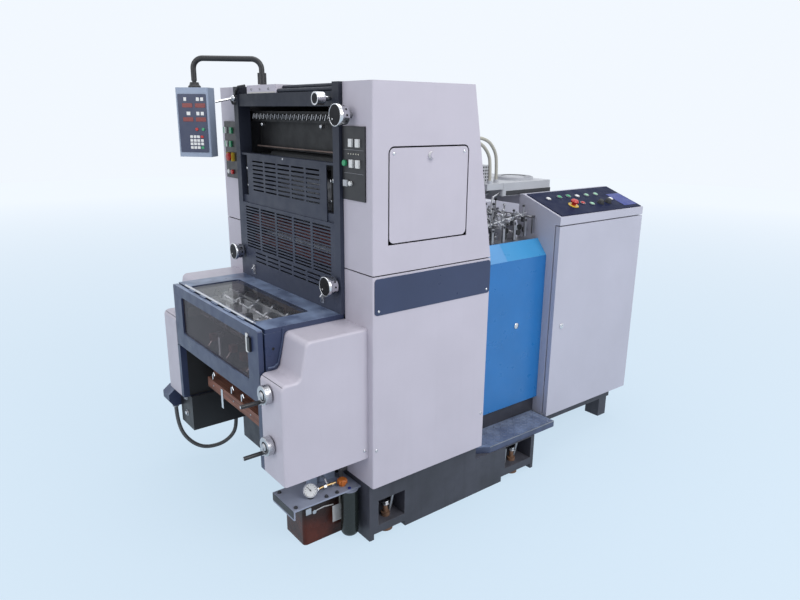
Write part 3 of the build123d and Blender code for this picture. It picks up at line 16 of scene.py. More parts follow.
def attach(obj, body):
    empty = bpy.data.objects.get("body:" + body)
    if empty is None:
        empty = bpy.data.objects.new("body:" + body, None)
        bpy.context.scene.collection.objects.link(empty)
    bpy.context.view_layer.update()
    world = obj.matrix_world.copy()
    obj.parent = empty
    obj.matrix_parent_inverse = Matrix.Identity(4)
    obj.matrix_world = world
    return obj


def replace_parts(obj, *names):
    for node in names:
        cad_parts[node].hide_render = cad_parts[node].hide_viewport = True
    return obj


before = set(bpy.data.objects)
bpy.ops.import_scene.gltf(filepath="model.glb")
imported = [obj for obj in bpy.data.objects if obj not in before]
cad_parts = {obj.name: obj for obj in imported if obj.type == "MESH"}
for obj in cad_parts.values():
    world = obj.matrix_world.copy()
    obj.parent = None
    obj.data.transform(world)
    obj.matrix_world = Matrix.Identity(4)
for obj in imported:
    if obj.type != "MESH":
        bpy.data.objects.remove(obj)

logging.basicConfig(level=logging.INFO, format="%(message)s")
LOG = logging.getLogger("press")
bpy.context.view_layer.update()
MM = 0.001

Point = tuple[float, float, float]
Colour = tuple[float, float, float]
Span = tuple[float, float]
Block = tuple[Span, Span, Span]
Profile = tuple[Span, ...]
Places = tuple[Span, ...]
Points = tuple[Point, ...]
Blocks = tuple[Block, ...]
Row = tuple[float, ...]

# Directions in the CAD frame
TO_FRONT: Point = (-1, 0, 0)
TO_REAR: Point = (1, 0, 0)
TO_OPERATOR: Point = (0, -1, 0)
TO_DRIVE: Point = (0, 1, 0)
UP: Point = (0, 0, 1)
SIDES: tuple[int, int] = (-1, 1)

# Bands, stretches and cells a metre of the noises in the finishes
WHOLE: Span = (0.0, 1.0)
PATCHES: Span = (0.3, 0.7)
FINE_PATCHES: Span = (0.35, 0.65)
GRAIN_STRETCH: Point = (60.0, 2.0, 60.0)
STREAK_STRETCH: Point = (34.0, 34.0, 2.2)
STREAK_BAND: Span = (0.52, 0.74)
UPWARD_BAND: Span = (0.55, 1.0)
EDGE_BAND: Span = (0.985, 0.90)
CHIP_BAND: Span = (0.47, 0.60)
DUST_AND_LIGHT_PATCH: Span = (0.3, 1.0)
WOOD_CELLS = 3.0
STREAK_CELLS = 1.0
DUST_AND_LIGHT_CELLS = 14.0
CHIP_CELLS = 46.0
ROUGH_CELLS = 22.0
HAZE_CELLS = 9.0
GRAIN_CELLS = 260.0

# Other values that all finishes and pieces share
ROUGH_SPREAD = 0.09
GRAIN_DEPTH = 0.001
INDEX_PER_GLOSS = 0.9
HAZE_LEAST = 0.4
GRAIN_DARK = 0.55
GRAIN_PALE = 1.3
STREAK_DARK = 0.45
MIX_COLOURS: tuple[int, int] = (6, 7)
BALL_STEPS = 8
WASHER_WIDE = 1.35
WASHER_THICK = 2.0

# Heads of screws and bolts as shares of their radius and height
SCREW_FORM: Profile = ((1.0, 0.0), (1.0, 0.4), (0.75, 0.85), (0.42, 1.0), (0.40, 0.45), (0.0, 0.45))
BOLT_FORM: Profile = ((0.0, 0.0), (1.0, 0.0), (1.0, 0.8), (0.85, 1.0), (0.0, 1.0))


class Surface(Enum):
    """Kinds of surface that a finish can have."""

    PAINT = "paint"
    METAL = "metal"
    PLASTIC = "plastic"
    WOOD = "wood"
    CLEAR = "clear"
    GLOW = "glow"


@dataclass(frozen=True)
class Finish:
    """One procedural finish."""

    name: str
    colour: Colour
    surface: Surface = Surface.PAINT
    roughness: float = 0.42
    mottle: float = 0.05
    scale: float = 5.0
    bump: float = 0.04
    dust_and_top_light: float = 0.0
    wear: float = 0.0
    streak: float = 0.0
    worn_colour: Colour = (0.42, 0.42, 0.43)
    edge: float = 0.0012
    strength: float = 1.0
    gloss: float = 0.5
    dust_and_top_light_colour: Colour = (0.42, 0.40, 0.38)
    fade_top: Optional[Colour] = None
    fade_z: Span = (0.0, 1.0)

    def material(self) -> bpy.types.Material:
        """Build the material once.

        Returns:
            The material with this finish's name.
        """
        title = "finish_" + self.name
        found = bpy.data.materials.get(title)
        if found is not None:
            return found
        material = bpy.data.materials.new(title)
        material.use_nodes = True
        tree = material.node_tree
        tree.nodes.clear()
        output = tree.nodes.new("ShaderNodeOutputMaterial")
        if self.surface is Surface.CLEAR:
            shader = self._clear(tree)
        else:
            shader = self._solid(tree)
        tree.links.new(shader, output.inputs["Surface"])
        material.diffuse_color = (*self.colour, 1.0)
        return material

    def _noise(self, tree: bpy.types.NodeTree, scale: float, stretch: Point = (1.0, 1.0, 1.0),
               detail: float = 4.0):
        """Add a noise in the CAD frame.

        Args:
            tree: Node tree to add to.
            scale: Noise cells per metre.
            stretch: Scale on each axis.
            detail: Octaves of the noise.

        Returns:
            The socket with the noise from 0 to 1.
        """
        where = tree.nodes.new("ShaderNodeTexCoord")
        mapping = tree.nodes.new("ShaderNodeMapping")
        mapping.inputs["Scale"].default_value = stretch
        noise = tree.nodes.new("ShaderNodeTexNoise")
        noise.inputs["Scale"].default_value = scale
        noise.inputs["Detail"].default_value = detail
        tree.links.new(where.outputs["Object"], mapping.inputs["Vector"])
        tree.links.new(mapping.outputs["Vector"], noise.inputs["Vector"])
        return noise.outputs["Fac"]

    def _remap(self, tree: bpy.types.NodeTree, socket, source: Span, target: Span):
        """Map a range of one socket to another range.

        Args:
            tree: Node tree to add to.
            socket: Socket to read.
            source: Range that is read.
            target: Range that is given.

        Returns:
            The mapped socket.
        """
        node = tree.nodes.new("ShaderNodeMapRange")
        node.inputs["From Min"].default_value = source[0]
        node.inputs["From Max"].default_value = source[1]
        node.inputs["To Min"].default_value = target[0]
        node.inputs["To Max"].default_value = target[1]
        tree.links.new(socket, node.inputs["Value"])
        return node.outputs["Result"]

    def _mix(self, tree: bpy.types.NodeTree, share, low, high):
        """Mix two colours.

        Args:
            tree: Node tree to add to.
            share: Socket with the share of the second colour.
            low: First colour, or the socket with it.
            high: Second colour, or the socket with it.

        Returns:
            The socket with the mixed colour.
        """
        node = tree.nodes.new("ShaderNodeMix")
        node.data_type = "RGBA"
        tree.links.new(share, node.inputs[0])
        for index, value in zip(MIX_COLOURS, (low, high)):
            if isinstance(value, tuple):
                node.inputs[index].default_value = (*value, 1.0)
            else:
                tree.links.new(value, node.inputs[index])
        return node.outputs[2]

    def _times(self, tree: bpy.types.NodeTree, first, second):
        """Multiply two sockets.

        Args:
            tree: Node tree to add to.
            first: One factor.
            second: The other factor.

        Returns:
            The socket with the product.
        """
        node = tree.nodes.new("ShaderNodeMath")
        node.operation = "MULTIPLY"
        tree.links.new(first, node.inputs[0])
        tree.links.new(second, node.inputs[1])
        return node.outputs[0]

    def _shade(self, factor: float) -> Colour:
        """The finish's colour, lighter or darker.

        Args:
            factor: Factor on each channel.

        Returns:
            The changed colour.
        """
        return tuple(min(1.0, channel * factor) for channel in self.colour)

    def _base_colour(self, tree: bpy.types.NodeTree, bevel):
        """Colour with mottling, a fade up the height, streaks, dust and painted top light on upward faces,
        and worn edges.

        Args:
            tree: Node tree to add to.
            bevel: Socket with the rounded normal.

        Returns:
            The socket with the colour.
        """
        if self.surface is Surface.WOOD:
            grain = self._noise(tree, WOOD_CELLS, GRAIN_STRETCH, detail=6.0)
            share = self._remap(tree, grain, FINE_PATCHES, WHOLE)
            return self._mix(tree, share, self._shade(GRAIN_DARK), self._shade(GRAIN_PALE))
        patch = self._remap(tree, self._noise(tree, self.scale), PATCHES, WHOLE)
        colour = self._mix(tree, patch, self._shade(1.0 - self.mottle), self._shade(1.0 + self.mottle))
        if self.fade_top is not None:
            where = tree.nodes.new("ShaderNodeTexCoord")
            parts = tree.nodes.new("ShaderNodeSeparateXYZ")
            tree.links.new(where.outputs["Object"], parts.inputs[0])
            rise = self._remap(tree, parts.outputs["Z"], self.fade_z, WHOLE)
            colour = self._mix(tree, rise, colour, self.fade_top)
        if self.streak > 0.0:
            run = self._noise(tree, STREAK_CELLS, STREAK_STRETCH, detail=5.0)
            share = self._remap(tree, run, STREAK_BAND, (0.0, self.streak))
            colour = self._mix(tree, share, colour, self._shade(STREAK_DARK))
        # Paler colour on upward faces, in patches: dust on some finishes, painted top light on the navy and
        # blue paints.
        if self.dust_and_top_light > 0.0:
            geometry = tree.nodes.new("ShaderNodeNewGeometry")
            parts = tree.nodes.new("ShaderNodeSeparateXYZ")
            tree.links.new(geometry.outputs["Normal"], parts.inputs[0])
            upward = self._remap(tree, parts.outputs["Z"], UPWARD_BAND, (0.0, self.dust_and_top_light))
            patchy = self._remap(tree, self._noise(tree, DUST_AND_LIGHT_CELLS), FINE_PATCHES, DUST_AND_LIGHT_PATCH)
            share = self._times(tree, upward, patchy)
            colour = self._mix(tree, share, colour, self.dust_and_top_light_colour)
        if self.wear > 0.0:
            geometry = tree.nodes.new("ShaderNodeNewGeometry")
            dot = tree.nodes.new("ShaderNodeVectorMath")
            dot.operation = "DOT_PRODUCT"
            tree.links.new(geometry.outputs["True Normal"], dot.inputs[0])
            tree.links.new(bevel, dot.inputs[1])
            edges = self._remap(tree, dot.outputs["Value"], EDGE_BAND, WHOLE)
            flakes = self._noise(tree, CHIP_CELLS, detail=6.0)
            chips = self._remap(tree, flakes, CHIP_BAND, (0.0, self.wear))
            colour = self._mix(tree, self._times(tree, edges, chips), colour, self.worn_colour)
        return colour

    def _solid(self, tree: bpy.types.NodeTree):
        """Shader of an opaque or glowing surface.

        Args:
            tree: Node tree to add to.

        Returns:
            The shader socket.
        """
        shader = tree.nodes.new("ShaderNodeBsdfPrincipled")
        bevel = tree.nodes.new("ShaderNodeBevel")
        bevel.samples = 4
        bevel.inputs["Radius"].default_value = self.edge
        colour = self._base_colour(tree, bevel.outputs["Normal"])
        tree.links.new(colour, shader.inputs["Base Color"])
        spread = ROUGH_SPREAD if self.surface is not Surface.GLOW else 0.0
        limits = (self.roughness - spread, self.roughness + spread)
        uneven = self._remap(tree, self._noise(tree, ROUGH_CELLS), PATCHES, limits)
        tree.links.new(uneven, shader.inputs["Roughness"])
        shader.inputs["Metallic"].default_value = 1.0 if self.surface is Surface.METAL else 0.0
        shader.inputs["Specular IOR Level"].default_value = self.gloss
        if self.surface is Surface.GLOW:
            shader.inputs["Emission Color"].default_value = (*self.colour, 1.0)
            shader.inputs["Emission Strength"].default_value = self.strength
        grain = tree.nodes.new("ShaderNodeBump")
        grain.inputs["Strength"].default_value = self.bump
        grain.inputs["Distance"].default_value = GRAIN_DEPTH
        tree.links.new(self._noise(tree, GRAIN_CELLS), grain.inputs["Height"])
        tree.links.new(bevel.outputs["Normal"], grain.inputs["Normal"])
        tree.links.new(grain.outputs["Normal"], shader.inputs["Normal"])
        return shader.outputs["BSDF"]

    def _clear(self, tree: bpy.types.NodeTree):
        """Shader of a clear pane with a thin haze, whose inner face mirrors no more than its outer one.

        Args:
            tree: Node tree to add to.

        Returns:
            The shader socket.
        """
        through = tree.nodes.new("ShaderNodeBsdfTransparent")
        through.inputs["Color"].default_value = (*self.colour, 1.0)
        haze = tree.nodes.new("ShaderNodeBsdfDiffuse")
        haze.inputs["Color"].default_value = (*self.dust_and_top_light_colour, 1.0)
        gloss = tree.nodes.new("ShaderNodeBsdfGlossy")
        gloss.inputs["Roughness"].default_value = self.roughness
        first = tree.nodes.new("ShaderNodeMixShader")
        limits = (self.dust_and_top_light * HAZE_LEAST, self.dust_and_top_light)
        share = self._remap(tree, self._noise(tree, HAZE_CELLS), PATCHES, limits)
        tree.links.new(share, first.inputs[0])
        tree.links.new(through.outputs[0], first.inputs[1])
        tree.links.new(haze.outputs[0], first.inputs[2])
        index = 1.0 + INDEX_PER_GLOSS * self.gloss
        side = tree.nodes.new("ShaderNodeNewGeometry")
        inner = tree.nodes.new("ShaderNodeMath")
        inner.operation = "MULTIPLY_ADD"
        inner.inputs[1].default_value = 1.0 / index - index
        inner.inputs[2].default_value = index
        tree.links.new(side.outputs["Backfacing"], inner.inputs[0])
        facing = tree.nodes.new("ShaderNodeFresnel")
        tree.links.new(inner.outputs[0], facing.inputs["IOR"])
        second = tree.nodes.new("ShaderNodeMixShader")
        tree.links.new(facing.outputs[0], second.inputs[0])
        tree.links.new(first.outputs[0], second.inputs[1])
        tree.links.new(gloss.outputs[0], second.inputs[2])
        return second.outputs[0]


COVER_GREY = Finish("cover_grey_paint", (0.506, 0.474, 0.539), roughness=0.40, mottle=0.035, bump=0.05,
                    dust_and_top_light=0.08, wear=0.5, streak=0.03, dust_and_top_light_colour=(0.55, 0.54, 0.60))
CABINET_GREY = Finish("cabinet_grey_paint", (0.468, 0.464, 0.541), roughness=0.40, mottle=0.03, bump=0.05,
                      dust_and_top_light=0.08, wear=0.4, dust_and_top_light_colour=(0.55, 0.54, 0.60))
CONSOLE_GREY = Finish("console_grey_paint", (0.28, 0.335, 0.44), roughness=0.42, mottle=0.03, wear=0.3)
# On the navy paints the paler blue of upward faces is painted top light.
NAVY = Finish("navy_paint", (0.028, 0.041, 0.094), roughness=0.36, mottle=0.10, dust_and_top_light=0.80, wear=0.5,
              bump=0.05, worn_colour=(0.20, 0.24, 0.33), dust_and_top_light_colour=(0.25, 0.32, 0.47))
STEP_NAVY = Finish("step_navy_paint", (0.050, 0.066, 0.125), roughness=0.42, mottle=0.25, scale=18.0,
                   dust_and_top_light=0.8, wear=0.8, bump=0.12, worn_colour=(0.30, 0.34, 0.42),
                   dust_and_top_light_colour=(0.27, 0.33, 0.46))
STUD_NAVY = Finish("stud_navy_paint", (0.16, 0.19, 0.28), roughness=0.38, mottle=0.35, scale=30.0, wear=1.0)
# The guard's paint fades darker towards the top: painted shade.
GUARD_NAVY = Finish("guard_navy_paint", (0.048, 0.056, 0.088), roughness=0.46, mottle=0.10, dust_and_top_light=0.05,
                    wear=0.5, bump=0.05, worn_colour=(0.16, 0.18, 0.24), dust_and_top_light_colour=(0.16, 0.19, 0.26),
                    fade_top=(0.015, 0.018, 0.029), fade_z=(0.90, 1.56), gloss=0.3)
# The paler blue of this paint's upward faces is painted top light.
BLUE = Finish("blue_paint", (0.0165, 0.155, 0.425), roughness=0.34, mottle=0.06, dust_and_top_light=0.9, wear=0.3,
              bump=0.05, dust_and_top_light_colour=(0.16, 0.36, 0.62))
CHARCOAL = Finish("charcoal_paint", (0.036, 0.037, 0.050), roughness=0.50, mottle=0.25, scale=7.0,
                  dust_and_top_light=0.32, wear=0.8, streak=0.4, bump=0.18, worn_colour=(0.17, 0.14, 0.13),
                  dust_and_top_light_colour=(0.20, 0.20, 0.23))
BLACK = Finish("black_paint", (0.012, 0.012, 0.014), roughness=0.42, mottle=0.15, dust_and_top_light=0.18, wear=0.3,
               bump=0.06, worn_colour=(0.12, 0.12, 0.12), dust_and_top_light_colour=(0.10, 0.10, 0.11))
# Near-black for parts and sheets inside the guard and delivery: painted shade.
INSIDE_BLACK = Finish("inside_black", (0.007, 0.007, 0.008), roughness=0.55, mottle=0.2)
INSIDE_BROWN = Finish("inside_brown", (0.15, 0.11, 0.095), roughness=0.6, mottle=0.35, scale=16.0)
INSIDE_GREY = Finish("inside_grey", (0.36, 0.36, 0.375), roughness=0.5, mottle=0.60, scale=16.0, bump=0.3)
IRON = Finish("dark_iron", (0.030, 0.031, 0.036), roughness=0.55, mottle=0.2, dust_and_top_light=0.2, bump=0.15,
              dust_and_top_light_colour=(0.12, 0.12, 0.13))
PLATE_BLACK = Finish("plate_black", (0.012, 0.012, 0.015), Surface.PLASTIC, roughness=0.38, mottle=0.05)
RUSTY = Finish("rusted_steel", (0.16, 0.085, 0.05), roughness=0.75, mottle=0.4, scale=30.0, bump=0.4)
STEEL = Finish("bright_steel", (0.54, 0.54, 0.56), Surface.METAL, roughness=0.30, mottle=0.10, scale=20.0,
               bump=0.03)
CHROME = Finish("chrome", (0.66, 0.66, 0.68), Surface.METAL, roughness=0.15, mottle=0.03, bump=0.01)
DULL_STEEL = Finish("dull_steel", (0.33, 0.33, 0.35), Surface.METAL, roughness=0.45, mottle=0.18,
                    scale=12.0, bump=0.08)
BRASS = Finish("brass", (0.52, 0.36, 0.18), Surface.METAL, roughness=0.35, mottle=0.12, scale=30.0)
DIAL_BLACK = Finish("dial_black", (0.010, 0.010, 0.012), Surface.PLASTIC, roughness=0.5, mottle=0.05,
                    gloss=0.15)
PANEL_NAVY = Finish("panel_navy", (0.010, 0.014, 0.042), Surface.PLASTIC, roughness=0.5, mottle=0.05,
                    gloss=0.07)
RUBBER = Finish("dark_rubber", (0.018, 0.019, 0.021), Surface.PLASTIC, roughness=0.6, mottle=0.1)
ROLLER_RED = Finish("red_roller", (0.16, 0.035, 0.030), Surface.PLASTIC, roughness=0.5, mottle=0.2)
WOOD = Finish("board_wood", (0.205, 0.088, 0.060), Surface.WOOD, roughness=0.65, bump=0.12)
TANK_BROWN = Finish("tank_plastic", (0.060, 0.0125, 0.0065), Surface.PLASTIC, roughness=0.25, mottle=0.55,
                    scale=14.0, gloss=0.25, fade_top=(0.022, 0.013, 0.011), fade_z=(0.060, 0.135))
TOP_PANE = Finish("top_pane", (0.97, 0.97, 0.97), Surface.CLEAR, roughness=0.06, dust_and_top_light=0.05,
                  dust_and_top_light_colour=(0.40, 0.41, 0.44), gloss=0.2)
FRONT_PANE = Finish("front_pane", (0.80, 0.74, 0.74), Surface.CLEAR, roughness=0.10, dust_and_top_light=0.34,
                    dust_and_top_light_colour=(0.100, 0.083, 0.094), gloss=0.20)
WHITE = Finish("white_plastic", (0.72, 0.72, 0.71), Surface.PLASTIC, roughness=0.35, mottle=0.02)
CREAM = Finish("cream_plastic", (0.55, 0.53, 0.46), Surface.PLASTIC, roughness=0.4, mottle=0.04)
GREEN = Finish("green_button", (0.03, 0.30, 0.13), Surface.PLASTIC, roughness=0.3, mottle=0.02)
PALE_GREEN = Finish("pale_green_button", (0.28, 0.52, 0.36), Surface.PLASTIC, roughness=0.3, mottle=0.02)
RED = Finish("red_button", (0.46, 0.020, 0.018), Surface.PLASTIC, roughness=0.3, mottle=0.02)
YELLOW = Finish("yellow_guard", (0.66, 0.44, 0.04), Surface.PLASTIC, roughness=0.35, mottle=0.02)
ORANGE = Finish("orange_knob", (0.60, 0.17, 0.03), Surface.PLASTIC, roughness=0.35, mottle=0.02)
PATCH_BLUE = Finish("blue_patch", (0.016, 0.030, 0.210), Surface.PLASTIC, roughness=0.4, mottle=0.02)
# Paler blues over the blue cover's slope: painted light.
SLOPE_LIGHT_BLUE = Finish("slope_painted_light_blue", (0.042, 0.260, 0.530), roughness=0.34, mottle=0.06, wear=0.3)
SLOPE_LIGHT_PALE = Finish("slope_painted_light_pale", (0.10, 0.29, 0.56), Surface.PLASTIC, roughness=0.45, mottle=0.08)
SHELF_BLUE = Finish("shelf_blue_paint", (0.27, 0.30, 0.39), roughness=0.42, mottle=0.12, dust_and_top_light=0.10,
                    wear=0.6)
DISPLAY = Finish("red_display", (0.15, 0.012, 0.012), Surface.GLOW, roughness=0.25, strength=0.18)
CONSOLE_NAVY = Finish("console_navy", (0.030, 0.040, 0.085), Surface.PLASTIC, roughness=0.4, mottle=0.05)
HOSE_GREY = Finish("hose_grey", (0.095, 0.096, 0.100), Surface.PLASTIC, roughness=0.5, mottle=0.12,
                   scale=40.0, bump=0.3)
HOSE_BEIGE = Finish("hose_beige", (0.40, 0.385, 0.33), Surface.PLASTIC, roughness=0.35, mottle=0.06)
SLEEVE = Finish("pump_sleeve", (0.010, 0.014, 0.012), Surface.PLASTIC, roughness=0.25, mottle=0.2)
GREY_GREEN = Finish("grey_green_paint", (0.12, 0.14, 0.13), roughness=0.5, mottle=0.15, dust_and_top_light=0.2)
HEAD_GREY = Finish("head_grey_paint", (0.44, 0.45, 0.48), roughness=0.42, mottle=0.06, dust_and_top_light=0.10, wear=0.3)
DARK_HOLE = Finish("dark_hole", (0.006, 0.006, 0.007), Surface.PLASTIC, roughness=0.9, mottle=0.0)


class Piece:
    """Mesh of one finish, gathered from simple forms given in millimetres."""

    def __init__(self, name: str, finish: Finish, body: str = "press", slot: Optional[str] = None) -> None:
        """Start an empty piece.

        Args:
            name: Object name.
            finish: Finish of the whole piece.
            body: CAD body that the piece rides on.
            slot: Material slot of the record, if it takes one; kept on the piece but not used.
        """
        self.name = name
        self.finish = finish
        self.body = body
        self.slot = slot
        self.at = Matrix.Identity(4)
        self.mesh = bmesh.new()

    def box(self, x: Span, y: Span, z: Span, turn: Optional[Matrix] = None) -> None:
        """Add a block.

        Args:
            x: Low and high X.
            y: Low and high Y.
            z: Low and high Z.
            turn: Rotation about the block's middle.
        """
        middle = Vector(((x[0] + x[1]) / 2, (y[0] + y[1]) / 2, (z[0] + z[1]) / 2)) * MM
        size = Matrix.Diagonal(((x[1] - x[0]) * MM, (y[1] - y[0]) * MM, (z[1] - z[0]) * MM, 1.0))
        spin = turn.to_4x4() if turn is not None else Matrix.Identity(4)
        place = self.at @ Matrix.Translation(middle) @ spin @ size
        bmesh.ops.create_cube(self.mesh, size=1.0, matrix=place)

    def lathe(self, start: Point, axis: Point, profile: Sequence[Span], segments: int = 24) -> None:
        """Add a form turned about an axis.

        Args:
            start: Point on the axis where heights begin.
            axis: Direction of the axis.
            profile: Radius and height of each ring, from one end to the other.
            segments: Sides of each ring.
        """
        spin = Vector(axis).normalized().to_track_quat("Z", "Y").to_matrix().to_4x4()
        place = self.at @ Matrix.Translation(Vector(start) * MM) @ spin
        rings = []
        for radius, height in profile:
            if radius <= 0.0:
                rings.append([self.mesh.verts.new(place @ Vector((0, 0, height * MM)))])
                continue
            ring = []
            for i in range(segments):
                angle = 2 * math.pi * i / segments
                local = Vector((radius * math.cos(angle), radius * math.sin(angle), height)) * MM
                ring.append(self.mesh.verts.new(place @ local))
            rings.append(ring)
        for low, high in zip(rings, rings[1:]):
            for i in range(segments):
                j = (i + 1) % segments
                corners = [low[i % len(low)], low[j % len(low)], high[j % len(high)], high[i % len(high)]]
                corners = list(dict.fromkeys(corners))
                if len(corners) > 2:
                    self.mesh.faces.new(corners)

    def disc(self, start: Point, axis: Point, radius: float, length: float, segments: int = 24,
             edge: float = 0.0) -> None:
        """Add a round bar or button with an eased end.

        Args:
            start: Middle of the first end.
            axis: Direction.
            radius: Radius.
            length: Length.
            segments: Sides.
            edge: Chamfer at the far end.
        """
        profile = [(0, 0), (radius, 0), (radius, length - edge)]
        if edge > 0.0:
            profile.append((radius - edge, length))
        self.lathe(start, axis, [*profile, (0, length)], segments)

    def ball(self, middle: Point, radius: float) -> None:
        """Add a ball.

        Args:
            middle: Centre.
            radius: Radius.
        """
        steps = [math.pi * i / BALL_STEPS for i in range(BALL_STEPS + 1)]
        profile = [(radius * math.sin(a), -radius * math.cos(a)) for a in steps]
        profile[0] = (0, -radius)
        profile[-1] = (0, radius)
        self.lathe(middle, UP, profile, segments=16)

    def pipe(self, points: Sequence[Point], radius: float, segments: int = 12) -> None:
        """Add a round bar along points, with a ball at each bend.

        Args:
            points: Corner points.
            radius: Radius.
            segments: Sides.
        """
        for a, b in zip(points, points[1:]):
            run = Vector(b) - Vector(a)
            self.disc(a, tuple(run), radius, run.length, segments)
        for bend in points[1:-1]:
            self.ball(bend, radius)

    def screw(self, at: Point, axis: Point, radius: float = 5.0, height: float = 3.0) -> None:
        """Add a domed screw head.

        Args:
            at: Point on the face.
            axis: Outward direction.
            radius: Head radius.
            height: Head height.
        """
        profile = [(radius * wide, height * tall) for wide, tall in SCREW_FORM]
        self.lathe(at, axis, profile, segments=16)

    def hex_bolt(self, at: Point, axis: Point, radius: float = 9.0, height: float = 7.0) -> None:
        """Add a hexagon head on a washer.

        Args:
            at: Point on the face.
            axis: Outward direction.
            radius: Corner radius of the head.
            height: Head height.
        """
        rim = radius * WASHER_WIDE
        self.lathe(at, axis, [(0, 0), (rim, 0), (rim, WASHER_THICK), (0, WASHER_THICK)], segments=20)
        start = Vector(at) + Vector(axis).normalized() * WASHER_THICK
        profile = [(radius * wide, height * tall) for wide, tall in BOLT_FORM]
        self.lathe(tuple(start), axis, profile, segments=6)

    def place(self, smooth: float = 32.0) -> bpy.types.Object:
        """Finish the piece and put it on its body.

        Args:
            smooth: Edges sharper than this many degrees stay sharp.

        Returns:
            The placed object.
        """
        data = bpy.data.meshes.new(self.name)
        bmesh.ops.recalc_face_normals(self.mesh, faces=self.mesh.faces)
        self.mesh.to_mesh(data)
        self.mesh.free()
        data.polygons.foreach_set("use_smooth", [True] * len(data.polygons))
        data.set_sharp_from_angle(angle=math.radians(smooth))
        data.materials.append(self.finish.material())
        thing = bpy.data.objects.new(self.name, data)
        bpy.context.scene.collection.objects.link(thing)
        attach(thing, self.body)
        LOG.info("piece %s on %s", self.name, self.body)
        return thing


def dress(finish: Finish, *nodes: str) -> None:
    """Give CAD nodes a finish.

    Args:
        finish: The finish.
        nodes: Names of the CAD nodes.
    """
    for name in nodes:
        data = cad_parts[name].data
        data.materials.clear()
        data.materials.append(finish.material())
        LOG.info("node %s: %s", name, finish.name)


def lean_along(slope: Vector) -> Matrix:
    """Turn a flat frame so that its Y runs up a slope.

    Args:
        slope: Direction up the slope, with no part along X.

    Returns:
        The rotation.
    """
    run = slope.normalized()
    return Matrix(((1, 0, 0, 0), (0, run.y, -run.z, 0), (0, run.z, run.y, 0), (0, 0, 0, 1)))


@dataclass
class Base:
    """Cast base, jacks, footstep and feeder rails."""

    step_x: Span = (88.0, 573.0)
    step_y: Span = (-519.0, -382.0)
    step_z: float = 185.0
    step_cut: Span = (81.0, 49.0)
    cut_clear: float = 1.25
    stud_pitch: float = 21.0
    stud_inset: float = 12.0
    stud_margin: float = 16.0
    stud_half: Span = (8.0, 2.0)
    stud_z: Span = (-0.5, 1.6)
    stud_lean: float = 45.0
    edge_y: Span = (-0.6, 1.8)
    edge_z: Span = (-3.0, 0.6)
    pocket_x: Span = (-341.5, 342.0)
    jack_y: float = 482.0
    jack_z: float = 102.0
    jack_head: Span = (12.0, 9.0)
    rod_radius: Span = (7.0, 5.0)
    rod_sides: tuple[int, int] = (14, 12)
    rod_foot: tuple[Point, Point] = ((26.0, 470.0, 54.0), (-44.0, 486.0, 54.0))
    rod_head: tuple[Point, Point] = ((42.0, 474.0, 128.0), (-34.0, 480.0, 116.0))

    def build(self) -> None:
        """Dress the base and add its small parts."""
        dress(CHARCOAL, "base_bed", "feeder_base")
        dress(RUSTY, "levelling_jacks")
        dress(STEP_NAVY, "footstep")
        self._studs()
        self._bolts()

    def _studs(self) -> None:
        """Raised studs and worn edge of the footstep."""
        studs = Piece("step_studs", STUD_NAVY, slot="step_plate")
        left, front = self.step_x[0], self.step_y[0]
        columns = int((self.step_x[1] - left - self.stud_margin) / self.stud_pitch)
        rows = int((self.step_y[1] - front - self.stud_margin) / self.stud_pitch)
        half_long, half_wide = self.stud_half
        height = tuple(self.step_z + rise for rise in self.stud_z)
        for i in range(columns + 1):
            for j in range(rows + 1):
                x = left + self.stud_inset + i * self.stud_pitch
                y = front + self.stud_inset + j * self.stud_pitch
                into = (x - left) / self.step_cut[0] + (y - front) / self.step_cut[1]
                if into < self.cut_clear:
                    continue
                angle = self.stud_lean if (i + j) % 2 else -self.stud_lean
                lean = Matrix.Rotation(math.radians(angle), 3, "Z")
                studs.box((x - half_long, x + half_long), (y - half_wide, y + half_wide), height, lean)
        studs.place()
        edge = Piece("step_edge", DULL_STEEL)
        edge.box((left + self.step_cut[0], self.step_x[1]),
                 (front + self.edge_y[0], front + self.edge_y[1]),
                 (self.step_z + self.edge_z[0], self.step_z + self.edge_z[1]))
        edge.place()

    def _bolts(self) -> None:
        """Jack screws and leaning rods in the pockets."""
        bolts = Piece("jack_screws", STEEL, slot="jack_steel")
        rods = Piece("pocket_rods", DULL_STEEL)
        leaning = list(zip(self.rod_radius, self.rod_sides, self.rod_foot, self.rod_head))
        for x in self.pocket_x:
            for side in SIDES:
                bolts.hex_bolt((x, side * self.jack_y, self.jack_z), UP, *self.jack_head)
                for radius, sides, *ends in leaning:
                    rods.pipe([(x + along, side * out, z) for along, out, z in ends], radius, sides)
        bolts.place()
        rods.place()


